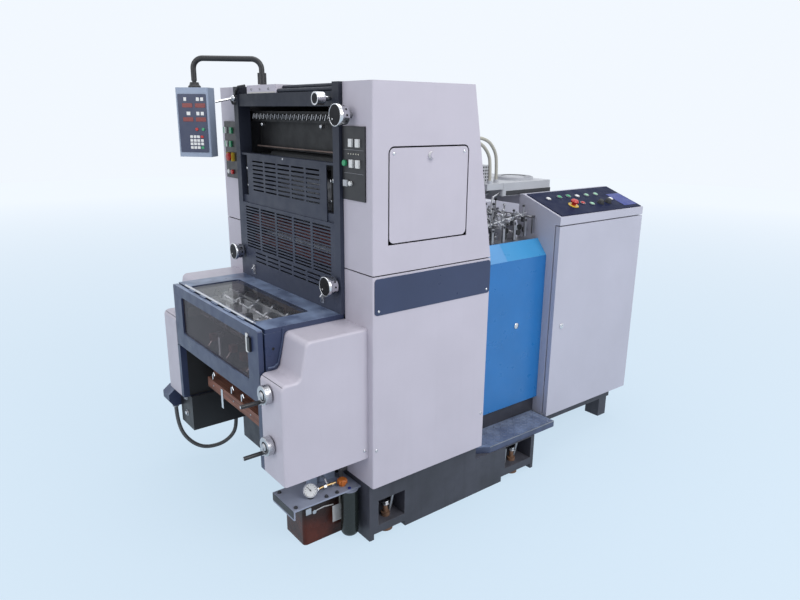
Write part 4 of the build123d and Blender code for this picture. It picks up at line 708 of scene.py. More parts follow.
@dataclass
class PrintingUnit:
    """Side covers, hatch and trim band of the printing unit."""

    side_y: float = -552.0
    hatch_x: Span = (-382.0, -48.0)
    hatch_top: float = 1401.0
    hatch_inset: float = 17.0
    band_x: Span = (-441.0, 84.0)
    band_low: float = 867.0
    band_inset: Span = (16.0, 14.0)
    band_proud: float = 2.0
    knob: Span = (-213.0, 1375.0)
    knob_profile: Profile = ((11.6, 0), (11.6, 8), (10.4, 11.5), (6.5, 13.6), (0, 14))
    low_screw_x: Span = (-433.0, 70.0)
    low_screw_z: float = 379.0

    def build(self) -> None:
        """Dress the covers and add screws and the knob."""
        dress(COVER_GREY, "upper_cover_operator", "lower_cover_operator", "drive_covers", "hatch")
        dress(COVER_GREY, "rear_guard")
        dress(NAVY, "band_plate")
        dress(GUARD_NAVY, "top_cover")
        # The side frames take dark iron, which also stands for the shade inside the unit: painted shade.
        dress(IRON, "side_frames")
        knob = Piece("hatch_knob_cap", WHITE, "hatch")
        knob.lathe((self.knob[0], self.side_y, self.knob[1]), TO_OPERATOR, self.knob_profile, segments=28)
        knob.place(smooth=50.0)
        locks = Piece("hatch_screws", CHROME, "hatch")
        for x in (self.hatch_x[0] + self.hatch_inset, self.hatch_x[1] - self.hatch_inset):
            locks.screw((x, self.side_y, self.hatch_top - self.hatch_inset), TO_OPERATOR, radius=5.5,
                        height=3.0)
        locks.place()
        screws = Piece("cover_screws", STEEL)
        inset, rise = self.band_inset
        for x in (self.band_x[0] + inset, self.band_x[1] - inset):
            screws.screw((x, self.side_y - self.band_proud, self.band_low + rise), TO_OPERATOR,
                         radius=4.5, height=2.5)
        for x in self.low_screw_x:
            screws.screw((x, self.side_y, self.low_screw_z), TO_OPERATOR, radius=6.0, height=3.0)
        screws.place()


@dataclass
class Guard:
    """Guard between the covers with keys, rollers, plates, dials and levers.

    A dial's place is its body, Y and Z. A place on a switch plate is Y and Z. A hook's points are X and Y
    from the guard's front and the latch's middle, and Z.
    """

    front: float = -462.0
    key_count: int = 20
    key_pitch: float = 30.0
    key_x: Span = (-430.0, -424.0)
    key_z: float = 1488.0
    key_lean: float = 24.0
    blade_half: Span = (1.7, 11.0)
    tick_half: Span = (1.0, 6.0)
    beam_bolts: Points = ((-396.0, 252.0, 1458.0), (-396.0, -192.0, 1458.0))
    tray: Block = ((-371.0, -369.0), (-346.0, 346.0), (1362.0, 1468.0))
    cheek_x: Span = (-440.0, -437.0)
    cheek_y: float = 325.0
    cheek_half: float = 22.0
    cheek_z: Span = (1178.0, 1343.0)
    fountain_rod: Point = (-392.0, -330.0, 1372.0)
    fountain_length: float = 660.0
    roller_places: Points = ((-405.0, -340.0, 1070.0), (-400.0, -340.0, 990.0))
    roller_radius: Span = (30.0, 22.0)
    roller_length: float = 680.0
    fixing_x: float = -440.0
    fixing_y: Row = (-343.0, -312.0, 322.0)
    fixing_z: Span = (1284.0, 1216.0)
    latch_y: Span = (-270.0, 270.0)
    latch_half: float = 10.0
    latch_depth: float = 4.0
    latch_z: Span = (852.0, 892.0)
    latch_hook: Points = ((-5.0, -6.0, 888.0), (-12.0, 0.0, 876.0), (-5.0, 6.0, 856.0))
    lip_screw: Point = (-458.0, 0.0, 1338.0)
    trip: Point = (-518.0, -336.0, 1548.0)
    lever: Point = (-470.0, 369.0, 1556.0)
    lever_ball: float = 12.0
    clamp_hook: Points = ((-452.0, 300.0, 1602.0), (-466.0, 330.0, 1598.0), (-470.0, 348.0, 1580.0),
                          (-464.0, 366.0, 1572.0))
    clamp_tail: Points = ((-440.0, 368.0, 1530.0), (-470.0, 380.0, 1536.0), (-478.0, 376.0, 1552.0))
    dial_back: float = -467.0
    dial_places: tuple[tuple[str, float, float], ...] = (
        ("dial_upper", -437.0, 1498.0), ("dial_lower", -356.0, 936.0), ("dial_drive", 372.0, 936.0))
    dial_profile: Profile = ((0, 0), (24, 0), (26, 2), (30, 4), (30, 28), (33, 29), (35, 31), (35, 40),
                             (34, 41.6), (32, 42), (31.4, 40.6), (0, 40.6))
    dial_holes: int = 10
    hole_depth: float = 14.5
    hole_ring: float = 29.4
    hole_radius: float = 3.6
    dial_face: float = 40.6
    dial_dot: Point = (41.3, 14.0, -12.0)
    plate_x: float = -452.0
    paddle_depth: float = 7.0
    operator_paddles: Places = ((-444.0, 1414.0), (-482.0, 1414.0), (-447.0, 1350.0), (-482.0, 1350.0))
    operator_knob: Span = (-440.0, 1287.0)
    lamp_count: int = 5
    lamp_first: Span = (-428.0, 1380.0)
    lamp_pitch: float = 14.0
    operator_start: Span = (-408.0, 1350.0)
    operator_rocker: Span = (-414.0, 1287.0)
    line_y: Span = (-510.0, -400.0)
    line_proud: float = 0.8
    line_tall: float = 1.0
    line_z: Span = (1319.0, 1392.0)
    drive_paddles: Places = ((446.0, 1429.0), (455.0, 1374.0))
    drive_pairs: Places = ((503.0, 1429.0), (498.0, 1374.0))
    pair_offset: float = 5.0
    pair_width: float = 9.0
    drive_white: Span = (488.0, 1259.0)
    drive_red: Span = (453.0, 1259.0)
    stop: Span = (455.0, 1322.0)
    stop_profile: Profile = ((0, 0), (9, 0), (9, 10), (16, 12), (17, 18), (13, 23), (0, 25))
    stop_guard_y: float = 23.0
    stop_guard_z: Span = (1304.0, 1340.0)
    stop_guard_depth: float = 14.0

    def build(self) -> None:
        """Dress the guard and add all small parts on it."""
        dress(GUARD_NAVY, "guard_frame", "upper_guard", "lower_guard")
        dress(DULL_STEEL, "printing_cylinders", "spindles")
        dress(INSIDE_BLACK, "ink_key_bar")
        dress(RUBBER, "ink_rollers")
        dress(PLATE_BLACK, "switch_plates")
        dress(CHROME, "guard_levers")
        self._keys()
        self._inside()
        self._latches()
        self._levers()
        self._operator_buttons()
        self._drive_buttons()
        for body, y, z in self.dial_places:
            self._dial(body, y, z)

    def _keys(self) -> None:
        """Slanted bright blades on the ink keys and finer ticks between them."""
        keys = Piece("ink_key_blades", STEEL, slot="roller_steel")
        lean = Matrix.Rotation(math.radians(self.key_lean), 3, "X")
        for i in range(2 * self.key_count - 1):
            y = (i - (self.key_count - 1)) * self.key_pitch / 2
            wide, tall = self.blade_half if i % 2 == 0 else self.tick_half
            keys.box(self.key_x, (y - wide, y + wide), (self.key_z - tall, self.key_z + tall), lean)
        keys.place()
        bolts = Piece("beam_bolts", STEEL)
        for at in self.beam_bolts:
            bolts.disc(at, TO_FRONT, radius=7.0, length=16.0, segments=18, edge=2.0)
        bolts.place()

    def _inside(self) -> None:
        """Dark sheets behind the guards as painted shade, rods, the red rollers and the fixings."""
        # Near-black sheets behind the upper guard and at its sides: painted shade.
        sheet = Piece("guard_shade_sheets", INSIDE_BLACK)
        sheet.box(*self.tray)
        for side in SIDES:
            middle = side * self.cheek_y
            sheet.box(self.cheek_x, (middle - self.cheek_half, middle + self.cheek_half), self.cheek_z)
        sheet.place()
        rod = Piece("fountain_rod", INSIDE_BROWN)
        rod.disc(self.fountain_rod, TO_DRIVE, radius=3.0, length=self.fountain_length, segments=12)
        rod.place()
        roller = Piece("red_form_roller", ROLLER_RED)
        for start, radius in zip(self.roller_places, self.roller_radius):
            roller.disc(start, TO_DRIVE, radius, self.roller_length, segments=28)
        roller.place()
        fixings = Piece("guard_fixings", CHROME)
        bolt_z, stud_z = self.fixing_z
        for y in self.fixing_y:
            fixings.hex_bolt((self.fixing_x, y, bolt_z), TO_FRONT, radius=6.0, height=8.0)
            fixings.disc((self.fixing_x, y, stud_z), TO_FRONT, radius=4.0, length=9.0, segments=14)
        fixings.place()

    def _latches(self) -> None:
        """Latches of the lower guard and the screw on the upper lip."""
        latch = Piece("guard_latches", STEEL)
        depth = (self.front - self.latch_depth, self.front)
        for y in self.latch_y:
            latch.box(depth, (y - self.latch_half, y + self.latch_half), self.latch_z)
            latch.pipe([(self.front + out, y + along, z) for out, along, z in self.latch_hook],
                       radius=3.0)
        latch.screw(self.lip_screw, TO_FRONT, radius=4.5, height=3.0)
        latch.place()

    def _levers(self) -> None:
        """Dark cup of the trip knob, ball and clamp of the lever."""
        cup = Piece("trip_face", DIAL_BLACK)
        cup.disc(self.trip, TO_FRONT, radius=16.0, length=0.6, segments=28)
        cup.place()
        ball = Piece("lever_ball", CHROME)
        ball.ball(self.lever, self.lever_ball)
        ball.place(smooth=60.0)
        clamp = Piece("lever_clamp", BLACK)
        clamp.pipe(self.clamp_hook, radius=5.5)
        clamp.pipe(self.clamp_tail, radius=4.5)
        clamp.place()

    def _dial(self, body: str, y: float, z: float) -> None:
        """Turned dial that stands for its CAD node.

        Args:
            body: Body and node of the dial.
            y: Axis Y.
            z: Axis Z.
        """
        shell = Piece(body + "_turned", CHROME, body, "dial_chrome")
        shell.lathe((self.dial_back, y, z), TO_FRONT, self.dial_profile, segments=48)
        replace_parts(shell.place(), body)
        holes = Piece(body + "_holes", DARK_HOLE, body)
        for i in range(self.dial_holes):
            angle = 2 * math.pi * i / self.dial_holes
            out = (0.0, math.cos(angle), math.sin(angle))
            around = (y + self.hole_ring * out[1], z + self.hole_ring * out[2])
            holes.disc((self.dial_back - self.hole_depth, *around), out, self.hole_radius, length=0.9,
                       segments=14)
        holes.place()
        face = Piece(body + "_face", DIAL_BLACK, body)
        face.disc((self.dial_back - self.dial_face, y, z), TO_FRONT, radius=31.0, length=0.7, segments=40)
        face.place()
        dot = Piece(body + "_dot", WHITE, body)
        out, along, rise = self.dial_dot
        dot.disc((self.dial_back - out, y + along, z + rise), TO_FRONT, radius=3.0, length=0.5,
                 segments=14)
        dot.place()

    def _button(self, piece: Piece, place: Span, radius: float, height: float = 8.0) -> None:
        """Round button on a switch plate.

        Args:
            piece: Piece to add to.
            place: Y and Z of the middle.
            radius: Radius.
            height: Height over the plate.
        """
        piece.disc((self.plate_x, *place), TO_FRONT, radius, height, segments=22, edge=1.5)

    def _paddle(self, piece: Piece, place: Span, width: float = 19.0, height: float = 25.0) -> None:
        """Square push paddle on a switch plate.

        Args:
            piece: Piece to add to.
            place: Y and Z of the middle.
            width: Width.
            height: Height.
        """
        y, z = place
        piece.box((self.plate_x - self.paddle_depth, self.plate_x), (y - width / 2, y + width / 2),
                  (z - height / 2, z + height / 2))

    def _operator_buttons(self) -> None:
        """Buttons on the operator side plate."""
        white = Piece("operator_paddles", WHITE)
        for place in self.operator_paddles:
            self._paddle(white, place)
        self._button(white, self.operator_knob, radius=8.0)
        white.place()
        dots = Piece("operator_lamps", CREAM)
        first, z = self.lamp_first
        for i in range(self.lamp_count):
            self._button(dots, (first - self.lamp_pitch * i, z), radius=2.4, height=3.0)
        dots.place()
        green = Piece("operator_green", GREEN)
        self._button(green, self.operator_start, radius=10.0)
        green.place()
        grey = Piece("operator_rocker", HEAD_GREY)
        self._paddle(grey, self.operator_rocker, width=22.0, height=20.0)
        grey.place()
        lines = Piece("operator_lines", DULL_STEEL)
        for z in self.line_z:
            lines.box((self.plate_x - self.line_proud, self.plate_x), self.line_y, (z, z + self.line_tall))
        lines.place()

    def _drive_buttons(self) -> None:
        """Buttons on the drive side plate."""
        green = Piece("drive_green", GREEN)
        white = Piece("drive_white", WHITE)
        for place in self.drive_paddles:
            self._paddle(green, place)
        for y, z in self.drive_pairs:
            self._paddle(green, (y + self.pair_offset, z), self.pair_width)
            self._paddle(white, (y - self.pair_offset, z), self.pair_width)
        self._button(white, self.drive_white, radius=9.0)
        green.place()
        white.place()
        red = Piece("drive_red", RED)
        red.lathe((self.plate_x, *self.stop), TO_FRONT, self.stop_profile, segments=30)
        self._button(red, self.drive_red, radius=10.0)
        red.place()
        guards = Piece("drive_stop_guards", YELLOW)
        for side in SIDES:
            middle = self.stop[0] + side * self.stop_guard_y
            guards.box((self.plate_x - self.stop_guard_depth, self.plate_x), (middle - 2, middle + 2),
                       self.stop_guard_z)
        guards.place()


@dataclass
class Console:
    """Operator console on its swing arm.

    Places on the face are across and up in the console's own frame, and a label adds its width.
    """

    end: Span = (-621.0, 385.0)
    turn: float = -46.0
    face_y: float = -35.5
    top: float = 1592.0
    labels: Points = ((-27, 1549, 11), (24, 1549, 12), (41, 1549, 12), (-16, 1496, 15), (22, 1496, 12),
                      (40, 1496, 12))
    label_height: float = 13.0
    display_x: Span = (-19, 33)
    display_z: Span = (1526, 1474)
    display_size: Span = (41, 16)
    thin: float = 0.8
    round_z: float = 1437.0
    round_x: Span = (14.0, 40.0)
    key_x: Row = (-10, 4, 18, 33)
    key_z: Row = (1409, 1395, 1382, 1368)
    key_size: Span = (11, 10)
    colour_key: Span = (11, 9)
    collar_profile: Profile = ((24, 0), (24, 5), (19, 10), (16, 20), (15.4, 20))
    bracket_x: float = -458.0
    bracket_screws: Row = (90.0, 160.0, 230.0)
    bracket_screw_z: float = 1587.0
    bracket_edge: Block = ((-459.0, -458.2), (40.0, 262.0), (1573.0, 1576.0))

    def build(self) -> None:
        """Dress the console and add its keys and displays."""
        dress(COVER_GREY, "arm_bracket")
        dress(CONSOLE_GREY, "console_box")
        dress(BLACK, "console_arm")
        dress(CONSOLE_NAVY, "console_face")
        self._labels()
        self._keypad()
        self._collar()
        self._bracket()

    def _start(self, name: str, finish: Finish) -> Piece:
        """Start a piece in the console's own frame.

        Args:
            name: Piece name.
            finish: Its finish.

        Returns:
            The started piece.
        """
        piece = Piece(name, finish, "console")
        middle = Vector((*self.end, 0.0)) * MM
        piece.at = Matrix.Translation(middle) @ Matrix.Rotation(math.radians(self.turn), 4, "Z")
        return piece

    def _key(self, piece: Piece, place: Span, size: Span, depth: float = 1.5) -> None:
        """Flat key on the face.

        Args:
            piece: Piece to add to.
            place: Middle across and up.
            size: Width and height.
            depth: Height over the face.
        """
        (x, z), (width, height) = place, size
        piece.box((x - width / 2, x + width / 2), (self.face_y - depth, self.face_y),
                  (z - height / 2, z + height / 2))

    def _labels(self) -> None:
        """White squares, displays, the two round buttons and the two coloured keys."""
        white = self._start("console_labels", WHITE)
        for x, z, width in self.labels:
            self._key(white, (x, z), (width, self.label_height), self.thin)
        white.place()
        shown = self._start("console_displays", DISPLAY)
        for x in self.display_x:
            for z in self.display_z:
                self._key(shown, (x, z), self.display_size, self.thin)
        shown.place()
        corner_keys = (self.key_z[0], self.key_z[-1])
        for name, finish, x, key_z in zip(("red", "green"), (RED, GREEN), self.round_x, corner_keys):
            piece = self._start("console_" + name, finish)
            piece.disc((x, self.face_y, self.round_z), TO_OPERATOR, radius=6, length=4, segments=20,
                       edge=1.0)
            self._key(piece, (self.key_x[-1], key_z), self.colour_key)
            piece.place()

    def _keypad(self) -> None:
        """White keys in rows, without the corners where the coloured keys sit."""
        keys = self._start("console_keypad", WHITE)
        corners = {(self.key_x[-1], self.key_z[0]), (self.key_x[-1], self.key_z[-1])}
        for z in self.key_z:
            for x in self.key_x:
                if (x, z) not in corners:
                    self._key(keys, (x, z), self.key_size)
        keys.place()

    def _collar(self) -> None:
        """Flared black collar under the arm's post."""
        dark = self._start("console_collar", BLACK)
        dark.lathe((0, 0, self.top), UP, self.collar_profile, segments=28)
        dark.place()

    def _bracket(self) -> None:
        """Screws and lower edge of the arm's bracket."""
        screws = Piece("bracket_screws", DULL_STEEL)
        for y in self.bracket_screws:
            screws.screw((self.bracket_x, y, self.bracket_screw_z), TO_FRONT, radius=5.0, height=3.0)
        screws.place()
        edge = Piece("bracket_edge", CREAM)
        edge.box(*self.bracket_edge)
        edge.place()


@dataclass
class Delivery:
    """Delivery with covers, windows, pile board, cranks and conduit.

    A low tray is its low Y, high Y and Z. An upright is its X, low Y, high Y and top Z. A block is its X,
    middle Y and reach along Y. A red part is its low Y and Z. Bends are X and Z, and a pin's hook is the
    step along Y and the Z of each point.
    """

    pull_strip: Block = ((-777.0, -773.0), (-309.0, -293.0), (744.0, 808.0))
    pull_grip: Block = ((-781.0, -773.0), (-329.0, -311.0), (752.0, 800.0))
    cover_y: Span = (381.0, 523.0)
    plate_y: float = 355.0
    bead_y: float = 383.0
    bead: Places = ((-746.0, 703.0), (-722.0, 703.0), (-708.0, 712.0), (-701.0, 736.0), (-689.0, 786.0),
                    (-684.0, 830.0))
    plate_hole: Span = (-722.0, 766.0)
    hinge: Span = (-749.0, 840.0)
    hinge_half: float = 300.0
    knuckles: int = 11
    sleeve_radius: Span = (4.0, 4.4)
    sleeve_gap: float = 0.6
    rails: Blocks = (((-740.0, -460.0), (-338.0, -322.0), (700.0, 735.0)),
                     ((-740.0, -460.0), (322.0, 338.0), (700.0, 735.0)),
                     ((-672.0, -648.0), (-322.0, 322.0), (690.0, 708.0)),
                     ((-572.0, -548.0), (-322.0, 322.0), (690.0, 708.0)),
                     ((-520.0, -490.0), (-300.0, 300.0), (720.0, 745.0)))
    low_tray_x: Span = (-706.0, -566.0)
    low_trays: Points = ((-260.0, -130.0, 742.0), (-104.0, 36.0, 728.0), (60.0, 150.0, 746.0),
                         (186.0, 284.0, 722.0))
    low_tray_thick: float = 5.0
    tray_bars: Blocks = (((-540.0, -524.0), (-290.0, 290.0), (752.0, 776.0)),
                         ((-716.0, -604.0), (-284.0, 284.0), (776.0, 779.0)))
    upright_foot: float = 730.0
    upright_thick: float = 6.0
    uprights: tuple[Row, ...] = (
        (-612.0, -262.0, -206.0, 806.0), (-650.0, -176.0, -128.0, 786.0), (-590.0, -112.0, -44.0, 812.0),
        (-664.0, -30.0, 10.0, 780.0), (-600.0, 34.0, 96.0, 804.0), (-640.0, 128.0, 168.0, 792.0),
        (-584.0, 188.0, 262.0, 810.0))
    blocks: Points = ((-688.0, -96.0, 10.0), (-672.0, 40.0, 22.0), (-694.0, 150.0, 34.0))
    block_long: float = 30.0
    block_z: Span = (778.0, 806.0)
    bracket_y: Row = (-232.0, -160.0, -84.0, -10.0, 90.0, 214.0)
    bracket_first: float = -690.0
    bracket_step: float = 26.0
    bracket_parts: Blocks = (((0.0, 44.0), (-9.0, 9.0), (746.0, 776.0)),
                             ((60.0, 76.0), (-26.0, 26.0), (742.0, 764.0)))
    red_x: Span = (-726.0, -704.0)
    red_size: Span = (30.0, 26.0)
    red_parts: Places = ((-262.0, 654.0), (-214.0, 660.0), (-150.0, 650.0), (-60.0, 656.0),
                         (120.0, 650.0))
    finger_half: float = 10.0
    finger_y: Row = (-170.0, 0.0, 170.0)
    finger_bend: Places = ((-560.0, 690.0), (-690.0, 660.0), (-735.0, 600.0), (-728.0, 540.0))
    finger_block: tuple[Span, Span] = ((-575.0, -545.0), (684.0, 716.0))
    wheel_y: Row = (-250.0, -120.0, 60.0, 232.0)
    wheel_at: Span = (-640.0, 770.0)
    wheel_wide: float = 16.0
    finger_shaft: Point = (-738.0, -330.0, 598.0)
    shade_sheet_gap: float = 0.8
    shade_sheet_half: float = 0.4
    shade_sheet_x: Span = (-748.0, -448.0)
    shade_sheet_z: Span = (346.0, 690.0)
    back_plate: Block = ((-462.0, -460.0), (-340.0, 340.0), (600.0, 800.0))
    board_front: float = -690.0
    board_top: float = 440.0
    pin_y: Row = (247.0, 66.0, -25.0)
    pin_hook: Places = ((0.0, 466.0), (-12.0, 474.0), (-22.0, 462.0))
    pin_inset: float = 6.0
    strap_thick: float = 3.0
    strap_inset: float = 6.0
    strap_y: Span = (136.0, 154.0)
    strap_low: float = 352.0
    board_screw_y: Row = (-250.0, -110.0, 40.0, 232.0)
    board_screw_z: float = 419.0
    crank_y: float = -440.0
    crank_z: Span = (643.0, 463.0)
    crank_front: float = -798.0
    hub_ring: Profile = ((18, 0), (31.6, 0), (31, 1.6), (20, 2.4), (18, 1.4))
    hub_nut: Profile = ((0, 0), (13, 0), (13, 3), (9, 6), (0, 7))
    dark_ring: Profile = ((13, 0), (18, 0), (18, 0.8), (13, 0.8))
    handle: Span = (20.0, -30.0)
    tip_inset: float = 0.4
    handle_front: float = -864.0
    cover_screw: Span = (-462.0, 375.0)
    leg_bolt: Span = (-747.0, 404.0)
    leg_bolt_z: Span = (323.0, 250.0)
    gland_profile: Profile = ((10, 0), (15, 0), (15, 12), (10, 12))
    glands: Points = ((-760.0, 510.0, 246.0), (-522.0, 420.0, 174.0))

    def build(self) -> None:
        """Dress the delivery and add its small parts."""
        dress(COVER_GREY, "delivery_cover_operator", "delivery_cover_drive")
        dress(NAVY, "delivery_plates", "delivery_top_frame", "front_cover", "conduit_box")
        dress(BLACK, "delivery_underframe")
        dress(TOP_PANE, "delivery_top_window")
        dress(FRONT_PANE, "front_cover_window")
        dress(CHROME, "delivery_hinge")
        dress(STEEL, "delivery_rods")
        dress(WOOD, "delivery_pile_board")
        dress(STEEL, "crank_upper", "crank_lower")
        dress(PLATE_BLACK, "crank_upper_handle", "crank_lower_handle")
        self._trim()
        self._hinge()
        self._inside()
        self._fingers()
        self._shade_sheet()
        self._board()
        self._cranks()
        self._screws()

    def _trim(self) -> None:
        """Pull strip on the front cover and the rolled bead of the side plates."""
        strip = Piece("front_pull_strip", WHITE, "front_cover")
        strip.box(*self.pull_strip)
        strip.place()
        grip = Piece("front_pull_grip", PLATE_BLACK, "front_cover")
        grip.box(*self.pull_grip)
        grip.place()
        bead = Piece("plate_beads", NAVY)
        holes = Piece("plate_holes", DARK_HOLE)
        for side in SIDES:
            bead.pipe([(x, side * self.bead_y, z) for x, z in self.bead], radius=4.0)
            x, z = self.plate_hole
            holes.disc((x, side * self.cover_y[0], z), (0, side, 0), radius=5.0, length=0.5, segments=16)
        bead.place(smooth=60.0)
        holes.place()

    def _hinge(self) -> None:
        """Bright sleeves on the front cover's knuckles."""
        sleeves = Piece("hinge_sleeves", CHROME, "front_cover")
        pitch = 2 * self.hinge_half / self.knuckles
        long = pitch - 2 * self.sleeve_gap
        inner, outer = self.sleeve_radius
        x, z = self.hinge
        for i in range(1, self.knuckles, 2):
            start = (x, -self.hinge_half + i * pitch + self.sleeve_gap, z)
            sleeves.lathe(start, TO_DRIVE, [(inner, 0), (outer, 0), (outer, long), (inner, long)],
                          segments=20)
        sleeves.place(smooth=60.0)

    def _inside(self) -> None:
        """Chain rails, trays, brackets and red parts seen through the windows."""
        rails = Piece("delivery_rails", GREY_GREEN)
        for block in self.rails:
            rails.box(*block)
        rails.place()
        trays = Piece("delivery_trays", INSIDE_GREY)
        for low, high, z in self.low_trays:
            trays.box(self.low_tray_x, (low, high), (z, z + self.low_tray_thick))
        for block in self.tray_bars:
            trays.box(*block)
        for x, low, high, top in self.uprights:
            trays.box((x, x + self.upright_thick), (low, high), (self.upright_foot, top))
        trays.place()
        dark = Piece("delivery_brackets", INSIDE_BLACK)
        for x, y, reach in self.blocks:
            dark.box((x, x + self.block_long), (y - reach, y + reach), self.block_z)
        for i, y in enumerate(self.bracket_y):
            x = self.bracket_first + self.bracket_step * (i % 3)
            for along, across, height in self.bracket_parts:
                dark.box((x + along[0], x + along[1]), (y + across[0], y + across[1]), height)
        dark.place()
        red = Piece("delivery_red_parts", ROLLER_RED)
        wide, tall = self.red_size
        for y, z in self.red_parts:
            red.box(self.red_x, (y, y + wide), (z, z + tall))
        red.place()

    def _fingers(self) -> None:
        """Bright fingers, wheels and shaft in front of the pile space."""
        fingers = Piece("delivery_fingers", CHROME)
        block_x, block_z = self.finger_block
        for y in self.finger_y:
            fingers.pipe([(x, y, z) for x, z in self.finger_bend], radius=4.0)
            fingers.box(block_x, (y - self.finger_half, y + self.finger_half), block_z)
        x, z = self.wheel_at
        for y in self.wheel_y:
            fingers.disc((x, y - self.wheel_wide / 2, z), TO_DRIVE, radius=18.0, length=self.wheel_wide,
                         segments=24, edge=2.0)
        fingers.disc(self.finger_shaft, TO_DRIVE, radius=7.0, length=-2 * self.finger_shaft[1],
                     segments=18)
        fingers.place()

    def _shade_sheet(self) -> None:
        """Near-black sheets over the pile space's side plates as painted shade, and the brown back of the
        delivery.
        """
        # Near-black sheets just inside the side plates: painted shade.
        shade_sheet = Piece("pile_space_shade_sheet", INSIDE_BLACK)
        for side in SIDES:
            y = side * (self.plate_y - self.shade_sheet_gap)
            shade_sheet.box(self.shade_sheet_x, (y - self.shade_sheet_half, y + self.shade_sheet_half), self.shade_sheet_z)
        shade_sheet.place()
        brown = Piece("delivery_back", INSIDE_BROWN)
        brown.box(*self.back_plate)
        brown.place()

    def _board(self) -> None:
        """Bright pins over the pile board, the strap under it and its screws."""
        pins = Piece("board_pins", CHROME, "pile_board")
        front = self.board_front
        x = front + self.pin_inset
        for y in self.pin_y:
            hook = [(x, y + along, z) for along, z in self.pin_hook]
            pins.pipe([(x, y, self.board_top), *hook], radius=3.5)
        strap_z = (self.strap_low, self.board_top - self.strap_inset)
        pins.box((front - self.strap_thick, front), self.strap_y, strap_z)
        pins.place()
        screws = Piece("board_screws", DULL_STEEL, "pile_board")
        for y in self.board_screw_y:
            screws.screw((front, y, self.board_screw_z), TO_FRONT, radius=4.0, height=2.5)
        screws.place()

    def _cranks(self) -> None:
        """Turned hub faces, dark rings of painted shade round the nuts, and bright handle tips of the two
        cranks.
        """
        for body, z in zip(("crank_upper", "crank_lower"), self.crank_z):
            at = (self.crank_front, self.crank_y, z)
            hub = Piece(body + "_hub", STEEL, body, "crank_steel")
            hub.lathe(at, TO_FRONT, self.hub_ring, segments=40)
            hub.lathe(at, TO_FRONT, self.hub_nut, segments=24)
            tip = (self.handle_front + self.tip_inset, self.crank_y + self.handle[0], z + self.handle[1])
            hub.disc(tip, TO_FRONT, radius=4.6, length=0.6, segments=18)
            hub.place()
            # Flat dark ring between the nut and the hub ring: painted shade.
            ring = Piece(body + "_ring", DIAL_BLACK, body)
            ring.lathe(at, TO_FRONT, self.dark_ring, segments=40)
            ring.place()

    def _screws(self) -> None:
        """Screw on the side cover, bolts on the leg and the gland rings."""
        screws = Piece("delivery_screws", STEEL)
        x, z = self.cover_screw
        screws.screw((x, -self.cover_y[1], z), TO_OPERATOR, radius=6.0, height=3.0)
        for z in self.leg_bolt_z:
            screws.hex_bolt((*self.leg_bolt, z), TO_FRONT, radius=10.0, height=7.0)
        screws.place()
        glands = Piece("hose_glands", DULL_STEEL)
        for at in self.glands:
            glands.lathe(at, UP, self.gland_profile, segments=6)
        glands.place()


